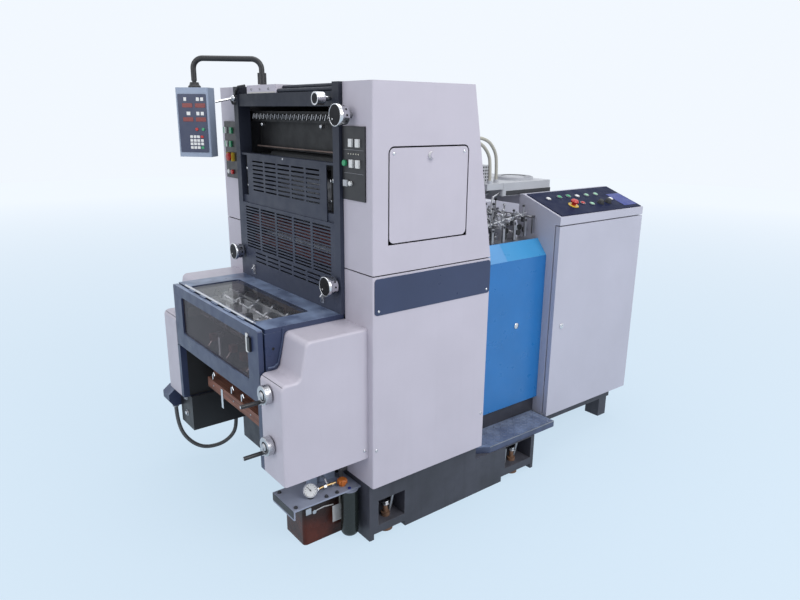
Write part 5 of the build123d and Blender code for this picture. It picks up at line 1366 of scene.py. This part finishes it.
@dataclass
class TankShelf:
    """Fluid tank, pump, shelf, gauge, cap and pipes."""

    shelf_z: float = 206.0
    gauge: Point = (-627.0, -428.0, 234.4)
    gauge_axis: Point = (-0.5, -0.6, 0.6)
    gauge_back: float = 8.0
    gauge_profile: Profile = ((0, 0), (22, 0), (26, 3), (26, 14), (25, 16), (22.5, 16), (22, 13.5),
                              (0, 13.5))
    gauge_face: float = 13.5
    gauge_hand: float = 14.6
    hand_lean: Span = (0.7, 0.6)
    hand_inset: float = 0.4
    hand_reach: Span = (6.0, 17.0)
    tick_count: int = 11
    tick_first: float = -135.0
    tick_step: float = 27.0
    tick_inset: float = 0.6
    tick_ring: Span = (16.0, 20.0)
    stem_nut: Profile = ((0, 0), (12, 0), (12, 9), (0, 9))
    cap: Span = (-494.0, -425.0)
    cap_profile: Profile = ((0, 0), (12, 0), (12, 9), (16, 10), (16, 23), (13, 26), (0, 26))
    cap_lobes: int = 9
    lobe_ring: float = 15.0
    lobe_rise: float = 10.0
    brass_run: Points = ((-612.0, -414.0, 216.0), (-585.0, -410.0, 216.0), (-560.0, -412.0, 220.0),
                         (-518.0, -418.0, 222.0))
    nut_x: Row = (-600.0, -566.0, -534.0)
    nut_at: Span = (-412.0, 218.0)
    nut_profile: Profile = ((0, 0), (9, 0), (9, 12), (0, 12))
    steel_run: Points = ((-548.0, -412.0, 220.0), (-548.0, -396.0, 236.0), (-548.0, -360.0, 244.0))
    block_places: tuple[Places, ...] = (((-596.0, -568.0), (-372.0, -344.0)),
                                        ((-552.0, -486.0), (-362.0, -330.0)))
    block_top: float = 342.0
    elbow_run: Points = ((-470.0, -380.0, 206.0), (-470.0, -380.0, 240.0), (-448.0, -380.0, 240.0))
    shelf_bolts: Places = ((-700.0, -452.0), (-700.0, -334.0), (-580.0, -456.0), (-536.0, -456.0),
                           (-460.0, -334.0))
    blue_bolt: Span = (-486.0, -460.0)
    tank_y: float = -401.0
    label: tuple[Span, Span] = ((-523.0, -462.0), (50.0, 118.0))
    label_thick: float = 0.6
    line_out: float = 2.0
    label_line: Places = ((-606.0, 128.0), (-560.0, 132.0), (-520.0, 126.0))
    neck: tuple[Span, Span] = ((-494.0, -462.0), (120.0, 150.0))
    fitting: tuple[Span, Span] = ((-634.0, -612.0), (122.0, 146.0))
    neck_thick: float = 3.0
    fitting_thick: float = 2.0
    fitting_knob: Span = (-600.0, 126.0)
    pump: Span = (-480.0, -450.0)
    pump_z: Span = (14.0, 200.0)
    sleeve_flat: float = 12.0
    sleeve_round: float = 20.6
    sleeve_proud: float = 0.6
    sleeve_steps: int = 6
    flange: Block = ((-717.8, -717.2), (-468.0, -317.0), (177.0, 204.5))

    def build(self) -> None:
        """Dress the tank and build its fittings."""
        dress(TANK_BROWN, "fluid_tank")
        dress(SHELF_BLUE, "tank_shelf")
        self._gauge()
        self._cap()
        self._pipes()
        self._tank()
        self._sleeve()

    def _gauge(self) -> None:
        """Gauge that stands, with the cap, for their CAD node."""
        axis = Vector(self.gauge_axis).normalized()
        back = Vector(self.gauge) - axis * self.gauge_back
        rim = Piece("gauge_rim", CHROME, slot="fitting_plastic")
        rim.lathe(tuple(back), tuple(axis), self.gauge_profile, segments=40)
        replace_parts(rim.place(), "shelf_fittings")
        stem = Piece("gauge_stem", IRON)
        foot = (*self.gauge[:2], self.shelf_z)
        stem.disc(foot, UP, radius=6.0, length=22.0, segments=14)
        stem.lathe(foot, UP, self.stem_nut, segments=6)
        stem.place()
        face = Piece("gauge_face", WHITE)
        face.disc(tuple(back + axis * self.gauge_face), tuple(axis), radius=21.8, length=0.6, segments=36)
        face.place()
        self._needle(axis, back + axis * self.gauge_hand)

    def _needle(self, axis: Vector, middle: Vector) -> None:
        """Needle and ticks on the gauge's face.

        Args:
            axis: Direction that the face looks in.
            middle: Middle of the needle.
        """
        needle = Piece("gauge_needle", BLACK)
        across = axis.cross(Vector(UP)).normalized()
        up = across.cross(axis)
        point = across * self.hand_lean[0] + up * self.hand_lean[1]
        tail, tip = self.hand_reach
        needle.pipe([tuple(middle - point * tail), tuple(middle + point * tip)], radius=0.9, segments=8)
        needle.disc(tuple(middle - axis * self.hand_inset), tuple(axis), radius=2.8, length=1.2,
                    segments=14)
        for i in range(self.tick_count):
            angle = math.radians(self.tick_first + self.tick_step * i)
            out = across * math.sin(angle) + up * math.cos(angle)
            tick = [tuple(middle + out * ring - axis * self.tick_inset) for ring in self.tick_ring]
            needle.pipe(tick, radius=0.6, segments=6)
        needle.place()

    def _cap(self) -> None:
        """Lobed cap of the tank."""
        cap = Piece("tank_cap", ORANGE)
        cap.lathe((*self.cap, self.shelf_z), UP, self.cap_profile, segments=24)
        for i in range(self.cap_lobes):
            angle = 2 * math.pi * i / self.cap_lobes
            x = self.cap[0] + self.lobe_ring * math.cos(angle)
            y = self.cap[1] + self.lobe_ring * math.sin(angle)
            cap.disc((x, y, self.shelf_z + self.lobe_rise), UP, radius=4.0, length=14.0, segments=12,
                     edge=2.0)
        cap.place()

    def _pipes(self) -> None:
        """Pipes, fittings, grey blocks and bolts on the shelf."""
        brass = Piece("brass_pipe", BRASS)
        brass.pipe(self.brass_run, radius=5.0)
        brass.place()
        nuts = Piece("pipe_nuts", STEEL)
        for x in self.nut_x:
            nuts.lathe((x, *self.nut_at), TO_REAR, self.nut_profile, segments=6)
        nuts.pipe(self.steel_run, radius=4.0)
        nuts.place()
        blocks = Piece("shelf_blocks", CONSOLE_GREY)
        for x, y in self.block_places:
            blocks.box(x, y, (self.shelf_z, self.block_top))
        blocks.place()
        elbow = Piece("tank_elbows", HOSE_GREY)
        elbow.pipe(self.elbow_run, radius=8.0)
        elbow.place()
        bolts = Piece("shelf_bolts", IRON)
        for place in self.shelf_bolts:
            bolts.hex_bolt((*place, self.shelf_z), UP, radius=5.5, height=5.0)
        bolts.place()
        blue = Piece("shelf_blue_bolt", PATCH_BLUE)
        blue.disc((*self.blue_bolt, self.shelf_z), UP, radius=6.0, length=5.0, segments=16, edge=1.0)
        blue.place()

    def _tank(self) -> None:
        """Bare plate, neck and pale fittings on the tank's side."""
        y = self.tank_y
        label = Piece("tank_blank_label", WHITE)
        label.box(self.label[0], (y - self.label_thick, y), self.label[1])
        label.pipe([(x, y - self.line_out, z) for x, z in self.label_line], radius=2.0, segments=8)
        label.place()
        neck = Piece("tank_neck", CREAM)
        neck.box(self.neck[0], (y - self.neck_thick, y), self.neck[1])
        neck.place()
        bits = Piece("tank_fittings", STEEL)
        bits.box(self.fitting[0], (y - self.fitting_thick, y), self.fitting[1])
        x, z = self.fitting_knob
        bits.disc((x, y, z), TO_OPERATOR, radius=8.0, length=4.0, segments=16)
        bits.place()

    def _sleeve(self) -> None:
        """Dark sleeve round the pump with a round foot, and a black sheet on the shelf's front flange as
        painted shade.
        """
        sleeve = Piece("pump_sleeve", SLEEVE)
        turns = [math.pi / 2 * i / self.sleeve_steps for i in range(self.sleeve_steps + 1)]
        bend = self.sleeve_round
        foot = [(self.sleeve_flat + bend * math.sin(a), bend * (1 - math.cos(a))) for a in turns]
        tall = self.pump_z[1] - self.pump_z[0] - self.sleeve_proud
        start = (*self.pump, self.pump_z[0] - self.sleeve_proud)
        sleeve.lathe(start, UP, [(0, 0), *foot, (self.sleeve_flat + bend, tall)], segments=36)
        sleeve.place(smooth=60.0)
        # Black sheet on the flange's front face: painted shade.
        flange = Piece("shelf_flange_shade", BLACK)
        flange.box(*self.flange)
        flange.place()


@dataclass
class Feedboard:
    """Blue covers, feedboard and the hold-down parts over it.

    Arms and links are given from their clamp's middle. There are a few kinds of arm, and each step is what
    one kind adds to the last.
    """

    cover_y: float = -399.0
    lock: Span = (419.0, 630.0)
    lock_profile: Profile = ((0, 0), (13, 0), (13, 3), (10, 5), (0, 5.4))
    slope: tuple[Span, Span] = ((-399.0, 920.0), (-346.0, 986.0))
    slope_x: Span = (84.5, 585.5)
    slope_half: float = 41.5
    slope_skin: Span = (-0.2, 0.4)
    patch_end: float = 345.0
    shaft_x: Row = (120.0, 186.0, 252.0, 318.0, 384.0, 450.0, 516.0, 566.0)
    shaft_z: float = 1010.0
    shaft_rise: float = 0.15
    shaft_y: float = -334.0
    shaft_length: float = 660.0
    bar_y: Row = (-290.0, -120.0, 70.0, 200.0)
    bar_rise: float = 14.0
    rod_radius: float = 5.0
    post_y: Span = (-330.0, 322.0)
    post_half: Span = (6.0, 4.0)
    post_z: Span = (-70.0, 9.0)
    arm_y: Row = (-316.0, -262.0, -204.0, -150.0, -88.0, -30.0, 42.0, 104.0, 170.0, 236.0)
    arm_kinds: int = 5
    block_half: Span = (8.0, 6.0)
    block_z: Span = (-9.0, 13.0)
    arm_foot: Point = (44.0, 5.0, -44.0)
    foot_step: float = 9.0
    arm_elbow: Point = (20.0, 3.0, 8.0)
    elbow_step: float = 6.0
    arm_radius: Span = (2.2, 0.4)
    link_start: Point = (0.0, 0.0, 10.0)
    link_bend: Point = (-26.0, 14.0, 20.0)
    link_step: float = 5.0
    link_end: Point = (-34.0, 30.0, -10.0)
    stem_tall: Span = (16.0, 9.0)
    wheel_radius: float = 13.0
    wheel_wide: float = 9.0

    def build(self) -> None:
        """Dress the feedboard and add the lock, the patch and the hold-down parts."""
        dress(BLUE, "feedboard_covers")
        dress(DULL_STEEL, "feed_board")
        dress(STEEL, "feed_shafts")
        lock = Piece("cover_lock", CHROME)
        lock.lathe((self.lock[0], self.cover_y, self.lock[1]), TO_OPERATOR, self.lock_profile,
                   segments=26)
        lock.place()
        self._patch()
        self._rods()
        self._arms()

    def _patch(self) -> None:
        """Paler blues over the sloping edge of the blue cover: painted light on the slope."""
        low, high = (Vector((0.0, *edge)) for edge in self.slope)
        turn = lean_along(high - low)
        spans = (("blue_cover_painted_light_pale", SLOPE_LIGHT_PALE, (self.slope_x[0], self.patch_end)),
                 ("blue_cover_painted_light", SLOPE_LIGHT_BLUE, (self.patch_end, self.slope_x[1])))
        for name, finish, span in spans:
            patch = Piece(name, finish)
            patch.at = Matrix.Translation((low + high) / 2 * MM) @ turn
            patch.box(span, (-self.slope_half, self.slope_half), self.slope_skin)
            patch.place()

    def _height(self, x: float) -> float:
        """Height of the shafts over the sloping board.

        Args:
            x: Place along the board.

        Returns:
            Height of the shaft's middle.
        """
        return self.shaft_z + (x - self.shaft_x[0]) * self.shaft_rise

    def _rods(self) -> None:
        """Cross shafts and the bars that carry them."""
        rods = Piece("feed_rods", STEEL)
        for x in self.shaft_x:
            rods.disc((x, self.shaft_y, self._height(x)), TO_DRIVE, self.rod_radius, self.shaft_length,
                      segments=14)
        ends = (self.shaft_x[0], self.shaft_x[-1])
        for y in self.bar_y:
            rods.pipe([(x, y, self._height(x) + self.bar_rise) for x in ends], self.rod_radius)
        rods.place()
        posts = Piece("feed_blocks", DULL_STEEL)
        long, wide = self.post_half
        for x in self.shaft_x:
            low, high = (self._height(x) + rise for rise in self.post_z)
            for y in self.post_y:
                posts.box((x - long, x + long), (y - wide, y + wide), (low, high))
        posts.place()

    def _arms(self) -> None:
        """Clamps, arms, wheels and knobs in rows over the board."""
        clamps = Piece("feed_clamps", IRON)
        arms = Piece("feed_arms", STEEL)
        links = Piece("feed_links", DULL_STEEL)
        wheels = Piece("feed_wheels", RUBBER)
        pale = Piece("feed_pale_blocks", HEAD_GREY)
        green = Piece("feed_green_knobs", GREEN)
        long, wide = self.block_half
        for i, x in enumerate(self.shaft_x[:-1]):
            z = self._height(x)
            low, top = (z + rise for rise in self.block_z)
            for j, y in enumerate(self.arm_y):
                kind = (3 * i + 2 * j) % self.arm_kinds
                block = pale if kind in (1, 2) else clamps
                block.box((x - long, x + long), (y - wide, y + wide), (low, top))
                at = Vector((x, y, z))
                foot = at + Vector(self.arm_foot) - Vector(TO_REAR) * self.foot_step * kind
                elbow = at + Vector(self.arm_elbow) - Vector(UP) * self.elbow_step * kind
                radius = self.arm_radius[0] + self.arm_radius[1] * kind
                arms.pipe([tuple(point) for point in (at, elbow, foot)], radius, segments=8)
                bend = at + Vector(self.link_bend) + Vector(UP) * self.link_step * kind
                link = (at + Vector(self.link_start), bend, at + Vector(self.link_end))
                links.pipe([tuple(point) for point in link], radius=2.6, segments=8)
                wheels.disc((foot.x, y, foot.z), TO_DRIVE, self.wheel_radius, self.wheel_wide,
                            segments=20, edge=1.5)
                tall = self.stem_tall[0] + self.stem_tall[1] * kind
                stem = green if kind == 3 and (i + j) % 2 else links
                stem.disc((x, y, top), UP, radius=3.2, length=tall, segments=10)
                head = arms if kind == 2 else clamps
                head.disc((x, y, top + tall), UP, radius=6.0, length=8.0, segments=14, edge=1.5)
        for piece in (clamps, pale, arms, links, wheels, green):
            piece.place()


@dataclass
class Cabinet:
    """Control cabinet with its door and sloping panel, where places are across and up the slope."""

    face_y: float = -462.0
    lock: Span = (646.0, 602.0)
    lock_profile: Profile = ((0, 0), (13, 0), (13, 3), (10, 5), (4, 5.4), (4, 4), (0, 4))
    panel_middle: Point = (887.0, -356.5, 1128.0)
    panel_run: Point = (0.0, 211.0, 76.0)
    panel_top: float = 4.0
    white_places: Places = ((-215, 42), (-18, 40), (166, -16))
    green_places: Places = ((-134, 48), (-72, 48))
    pale_places: Places = ((50, 40), (118, 40), (-4, -40))
    red_places: Places = ((-52, -24),)
    ring_profile: Profile = ((10, 0), (13, 0), (13, 3), (10, 3))
    stop: Span = (-130, -34)
    stop_rise: float = 3.0
    stop_profile: Profile = ((0, 0), (10, 0), (10, 10), (17, 12), (18, 18), (14, 23), (0, 25))
    knobs: Places = ((56, -42), (112, -42))
    knob_profile: Profile = ((0, 0), (16, 0), (15, 5), (12, 16), (10, 18), (0, 18))
    patch: tuple[Span, Span] = ((186, 284), (-86, 30))
    patch_skin: Span = (-0.2, 0.6)

    def build(self) -> None:
        """Dress the cabinet and add the lock and the buttons."""
        dress(CABINET_GREY, "cabinet_shell", "cabinet_door", "feeder_housing")
        dress(PANEL_NAVY, "control_panel")
        lock = Piece("cabinet_lock", CHROME, "cabinet_door")
        lock.lathe((self.lock[0], self.face_y, self.lock[1]), TO_OPERATOR, self.lock_profile, segments=26)
        lock.place()
        self._buttons()

    def _start(self, name: str, finish: Finish) -> Piece:
        """Start a piece in the frame of the sloping panel.

        Args:
            name: Piece name.
            finish: Its finish.

        Returns:
            The started piece.
        """
        piece = Piece(name, finish)
        piece.at = Matrix.Translation(Vector(self.panel_middle) * MM) @ lean_along(Vector(self.panel_run))
        return piece

    def _buttons(self) -> None:
        """Buttons, lamps and knobs on the sloping panel."""
        white = self._start("panel_white", WHITE)
        green = self._start("panel_green", GREEN)
        pale = self._start("panel_pale_green", PALE_GREEN)
        red = self._start("panel_red", RED)
        dark = self._start("panel_knobs", RUBBER)
        rings = self._start("panel_rings", DULL_STEEL)
        yellow = self._start("panel_yellow", YELLOW)
        rows = ((white, self.white_places), (green, self.green_places), (pale, self.pale_places),
                (red, self.red_places))
        for piece, places in rows:
            for place in places:
                at = (*place, self.panel_top)
                piece.disc(at, UP, radius=10.0, length=6.0, segments=24, edge=1.5)
                rings.lathe(at, UP, self.ring_profile, segments=28)
        yellow.disc((*self.stop, self.panel_top), UP, radius=24.0, length=self.stop_rise, segments=32,
                    edge=0.5)
        red.lathe((*self.stop, self.panel_top + self.stop_rise), UP, self.stop_profile, segments=30)
        for place in self.knobs:
            dark.lathe((*place, self.panel_top), UP, self.knob_profile, segments=28)
        for piece in (white, green, pale, red, dark, rings, yellow):
            piece.place()
        patch = self._start("panel_blue_patch", PATCH_BLUE)
        low, high = (self.panel_top + rise for rise in self.patch_skin)
        patch.box(*self.patch, (low, high))
        patch.place()


@dataclass
class FeederHead:
    """Feeder head, manifold and pile board."""

    ring: Point = (688.0, -90.0, 1228.0)
    ring_profile: Profile = ((54, 0), (84, 0), (82, 2.4), (56, 2.4))
    plate: Point = (394.0, -140.0, 1216.0)
    hole_rows: int = 5
    hole_columns: tuple[int, int] = (6, 3)
    hole_first: Point = (8.0, 7.0, 9.0)
    hole_pitch: Point = (13.6, 13.0, 14.0)
    hole_radius: float = 4.0
    hole_depth: float = 0.4
    dark_faces: Blocks = (((489.2, 490.0), (-98.0, 214.0), (1162.0, 1206.0)),
                          ((510.0, 804.0), (-215.8, -215.0), (1162.0, 1182.0)))
    rod_y: Row = (-190.0, -130.0, -60.0, 60.0, 130.0, 190.0)
    rod_bend: Places = ((500.0, 1176.0), (456.0, 1158.0), (446.0, 1100.0))
    sucker: Span = (446.0, 1086.0)

    def build(self) -> None:
        """Dress the feeder head and add its rods and holes."""
        dress(HEAD_GREY, "feeder_head")
        dress(WOOD, "feeder_pile_board")
        self._holes()
        ring = Piece("head_ring", DULL_STEEL)
        ring.lathe(self.ring, UP, self.ring_profile, segments=48)
        ring.place()
        face = Piece("head_dark_face", IRON)
        for block in self.dark_faces:
            face.box(*block)
        face.place()
        rods = Piece("head_rods", STEEL)
        for y in self.rod_y:
            rods.pipe([(x, y, z) for x, z in self.rod_bend], radius=5.0)
            rods.disc((self.sucker[0], y, self.sucker[1]), UP, radius=10.0, length=16.0, segments=18)
        rods.place()

    def _holes(self) -> None:
        """Rows of holes in two faces of the manifold."""
        holes = Piece("manifold_holes", DARK_HOLE)
        x, y, z = self.plate
        first, pitch = self.hole_first, self.hole_pitch
        for j in range(self.hole_rows):
            height = z + first[2] + j * pitch[2]
            for i in range(self.hole_columns[0]):
                along = (x + first[0] + i * pitch[0], y, height)
                holes.disc(along, TO_OPERATOR, self.hole_radius, self.hole_depth, segments=12)
            for i in range(self.hole_columns[1]):
                across = (x, y + first[1] + i * pitch[1], height)
                holes.disc(across, TO_FRONT, self.hole_radius, self.hole_depth, segments=12)
        holes.place()


@dataclass
class Hoses:
    """The three hoses, laid as curves in metres."""

    conduit_route: Points = ((-0.760, 0.510, 0.246), (-0.760, 0.510, 0.172), (-0.738, 0.488, 0.092),
                             (-0.678, 0.458, 0.036), (-0.600, 0.436, 0.036), (-0.548, 0.424, 0.066),
                             (-0.522, 0.420, 0.112), (-0.522, 0.420, 0.174))
    conduit_radius: float = 0.0085
    conduit_length: float = 0.4953
    near_length: float = 0.4999
    far_length: float = 0.5772
    near_bend: Point = (0.421, -0.200, 1.392)
    far_bend: Point = (0.488, -0.172, 1.404)
    air_radius: float = 0.007
    air_low: float = 1.230
    level_share: float = 0.24
    sway_share: float = 0.5
    sway: float = 0.008
    crest: Span = (0.070, 0.004)
    shoulder: float = 0.010
    drop_shares: Span = (0.30, 0.655)
    rear_edge: float = 0.084
    rear_lean: float = 0.109 / 0.601
    rear_drop: float = 0.393
    socket_reach: float = 0.028

    def build(self) -> None:
        """Lay the hoses in place of their CAD tubes."""
        self._lay("conduit_hose_line", "conduit_hose", self.conduit_route, self.conduit_radius,
                  HOSE_GREY)
        start = self.rear_edge - self.rear_lean * self.rear_drop + self.socket_reach
        low = self.air_low
        hoses = (("near", self.near_length, self.near_bend), ("far", self.far_length, self.far_bend))
        for name, length, (x, y, z) in hoses:
            run = x - start
            route = ((start, y, z), (start + run * self.level_share, y, z),
                     (start + run * self.sway_share, y - self.sway, z + self.sway),
                     (x - self.crest[0], y, z + self.crest[1]),
                     (x - self.shoulder, y, z - self.drop_shares[0] * (z - low)),
                     (x, y, z - self.drop_shares[1] * (z - low)), (x, y, low))
            self._lay("air_hose_line_" + name, "air_hose_" + name, route, self.air_radius,
                      HOSE_BEIGE)

    def _lay(self, name: str, node: str, route: Sequence[Point], radius: float,
             finish: Finish) -> None:
        """Lay one hose.

        Args:
            name: Object name.
            node: CAD node that it stands for.
            route: Route points in metres.
            radius: Hose radius in metres.
            finish: Its finish.
        """
        data = bpy.data.curves.new(name, "CURVE")
        data.dimensions = "3D"
        data.resolution_u = 10
        data.bevel_depth = radius
        data.bevel_resolution = 5
        spline = data.splines.new("NURBS")
        spline.points.add(len(route) - 1)
        for point, place in zip(spline.points, route):
            point.co = (*place, 1.0)
        spline.order_u = 3
        spline.use_endpoint_u = True
        data.materials.append(finish.material())
        thing = bpy.data.objects.new(name, data)
        bpy.context.scene.collection.objects.link(thing)
        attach(thing, "press")
        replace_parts(thing, node)
        LOG.info("hose %s", name)


@dataclass
class Studio:
    """Floor, light and camera, in metres; a lamp is its name, place, size and power."""

    eye: Point = (-1.650, -2.2285, 1.5079)
    yaw: float = 38.089
    pitch: float = 15.787
    roll: float = 0.568
    lens: float = 29.87
    floor_radius: float = 14.0
    pale_near: Colour = (0.53, 0.665, 0.785)
    pale_far: Colour = (0.835, 0.89, 0.955)
    pale_sky: Colour = (0.89, 0.94, 1.0)
    fade_from: float = 0.4
    fade_share: float = 0.75
    shadow_catch: Colour = (0.11, 0.115, 0.12)
    floor_bounce: Colour = (0.66, 0.71, 0.78)
    sky_light: Colour = (0.86, 0.92, 1.0)
    sky_strength: float = 0.55
    lamps: tuple[tuple[str, Point, float, float], ...] = (
        ("key", (0.6, -4.2, 3.6), 3.0, 130.0), ("front", (-4.4, -0.6, 2.6), 2.6, 52.0),
        ("top", (0.2, 0.4, 4.6), 3.5, 75.0))
    lamp_aim: Point = (0.1, 0.0, 0.8)
    sensor_width: float = 36.0

    def build(self) -> None:
        """Build the floor, the surroundings, the lamps and the camera."""
        self._floor()
        self._surroundings()
        self._lamps()
        self._camera()

    def _floor(self) -> None:
        """Round pale floor."""
        form = bmesh.new()
        bmesh.ops.create_circle(form, cap_ends=True, radius=self.floor_radius, segments=64)
        data = bpy.data.meshes.new("studio_floor")
        form.to_mesh(data)
        form.free()
        data.materials.append(self._pale())
        floor = bpy.data.objects.new("studio_floor", data)
        bpy.context.scene.collection.objects.link(floor)

    def _seen(self, tree: bpy.types.NodeTree) -> bpy.types.NodeSocket:
        """Tell the rays that show the background from those that light the object.

        Args:
            tree: Node tree to add to.

        Returns:
            The socket that is 1 for camera, mirror and glass rays.
        """
        path = tree.nodes.new("ShaderNodeLightPath")
        found = path.outputs["Is Camera Ray"]
        for name in ("Is Glossy Ray", "Is Transmission Ray"):
            either = tree.nodes.new("ShaderNodeMath")
            either.operation = "MAXIMUM"
            tree.links.new(found, either.inputs[0])
            tree.links.new(path.outputs[name], either.inputs[1])
            found = either.outputs[0]
        return found

    def _pale(self) -> bpy.types.Material:
        """Pale finish of the floor, lighter with distance.

        Returns:
            The material.
        """
        material = bpy.data.materials.new("floor_pale")
        material.use_nodes = True
        tree = material.node_tree
        tree.nodes.clear()
        where = tree.nodes.new("ShaderNodeNewGeometry")
        away = tree.nodes.new("ShaderNodeVectorMath")
        away.operation = "LENGTH"
        rise = tree.nodes.new("ShaderNodeMapRange")
        rise.inputs["From Min"].default_value = self.fade_from
        rise.inputs["From Max"].default_value = self.floor_radius * self.fade_share
        ramp = tree.nodes.new("ShaderNodeMix")
        ramp.data_type = "RGBA"
        ramp.inputs[MIX_COLOURS[0]].default_value = (*self.pale_near, 1.0)
        ramp.inputs[MIX_COLOURS[1]].default_value = (*self.pale_far, 1.0)
        shown = tree.nodes.new("ShaderNodeBsdfPrincipled")
        shown.inputs["Base Color"].default_value = (*self.shadow_catch, 1.0)
        shown.inputs["Specular IOR Level"].default_value = 0.0
        shown.inputs["Emission Strength"].default_value = 1.0
        plain = tree.nodes.new("ShaderNodeBsdfDiffuse")
        plain.inputs["Color"].default_value = (*self.floor_bounce, 1.0)
        either = tree.nodes.new("ShaderNodeMixShader")
        output = tree.nodes.new("ShaderNodeOutputMaterial")
        tree.links.new(where.outputs["Position"], away.inputs[0])
        tree.links.new(away.outputs["Value"], rise.inputs["Value"])
        tree.links.new(rise.outputs["Result"], ramp.inputs[0])
        tree.links.new(ramp.outputs[2], shown.inputs["Emission Color"])
        tree.links.new(self._seen(tree), either.inputs[0])
        tree.links.new(plain.outputs[0], either.inputs[1])
        tree.links.new(shown.outputs[0], either.inputs[2])
        tree.links.new(either.outputs[0], output.inputs["Surface"])
        return material

    def _surroundings(self) -> None:
        """Soft light from all round, shown as a pale colour that meets the far floor."""
        world = bpy.data.worlds.new("studio")
        bpy.context.scene.world = world
        world.use_nodes = True
        tree = world.node_tree
        tree.nodes.clear()
        light = tree.nodes.new("ShaderNodeBackground")
        light.inputs["Color"].default_value = (*self.sky_light, 1.0)
        light.inputs["Strength"].default_value = self.sky_strength
        shown = tree.nodes.new("ShaderNodeBackground")
        shown.inputs["Color"].default_value = (*self.pale_sky, 1.0)
        shown.inputs["Strength"].default_value = 1.0
        either = tree.nodes.new("ShaderNodeMixShader")
        output = tree.nodes.new("ShaderNodeOutputWorld")
        tree.links.new(self._seen(tree), either.inputs[0])
        tree.links.new(light.outputs[0], either.inputs[1])
        tree.links.new(shown.outputs[0], either.inputs[2])
        tree.links.new(either.outputs[0], output.inputs["Surface"])

    def _lamps(self) -> None:
        """Large lamps above, on the operator side and at the delivery end."""
        for name, at, size, power in self.lamps:
            data = bpy.data.lights.new(name, "AREA")
            data.size = size
            data.energy = power
            lamp = bpy.data.objects.new(name, data)
            lamp.location = at
            aim = Vector(self.lamp_aim) - Vector(at)
            lamp.rotation_euler = aim.to_track_quat("-Z", "Y").to_euler()
            bpy.context.scene.collection.objects.link(lamp)

    def _camera(self) -> None:
        """Camera at the place where the photograph was taken."""
        yaw, pitch, roll = (math.radians(angle) for angle in (self.yaw, self.pitch, self.roll))
        ahead = Vector((math.sin(yaw) * math.cos(pitch), math.cos(yaw) * math.cos(pitch), -math.sin(pitch)))
        right = Vector((math.cos(yaw), -math.sin(yaw), 0.0))
        up = right.cross(ahead)
        across = right * math.cos(roll) + up * math.sin(roll)
        above = up * math.cos(roll) - right * math.sin(roll)
        data = bpy.data.cameras.new("photo_camera")
        data.lens = self.lens
        data.sensor_width = self.sensor_width
        camera = bpy.data.objects.new("photo_camera", data)
        turn = Matrix((across, above, -ahead)).transposed().to_4x4()
        camera.matrix_world = Matrix.Translation(Vector(self.eye)) @ turn
        bpy.context.scene.collection.objects.link(camera)
        bpy.context.scene.camera = camera


def main() -> None:
    """Build everything in order and log each part's name."""
    bpy.context.scene.view_settings.view_transform = "Standard"
    parts = (Base(), PrintingUnit(), Guard(), Console(), Delivery(), TankShelf(), Feedboard(), Cabinet(),
             FeederHead(), Hoses(), Studio())
    for part in parts:
        LOG.info("building %s", type(part).__name__)
        part.build()


if __name__ == "__main__":
    main()
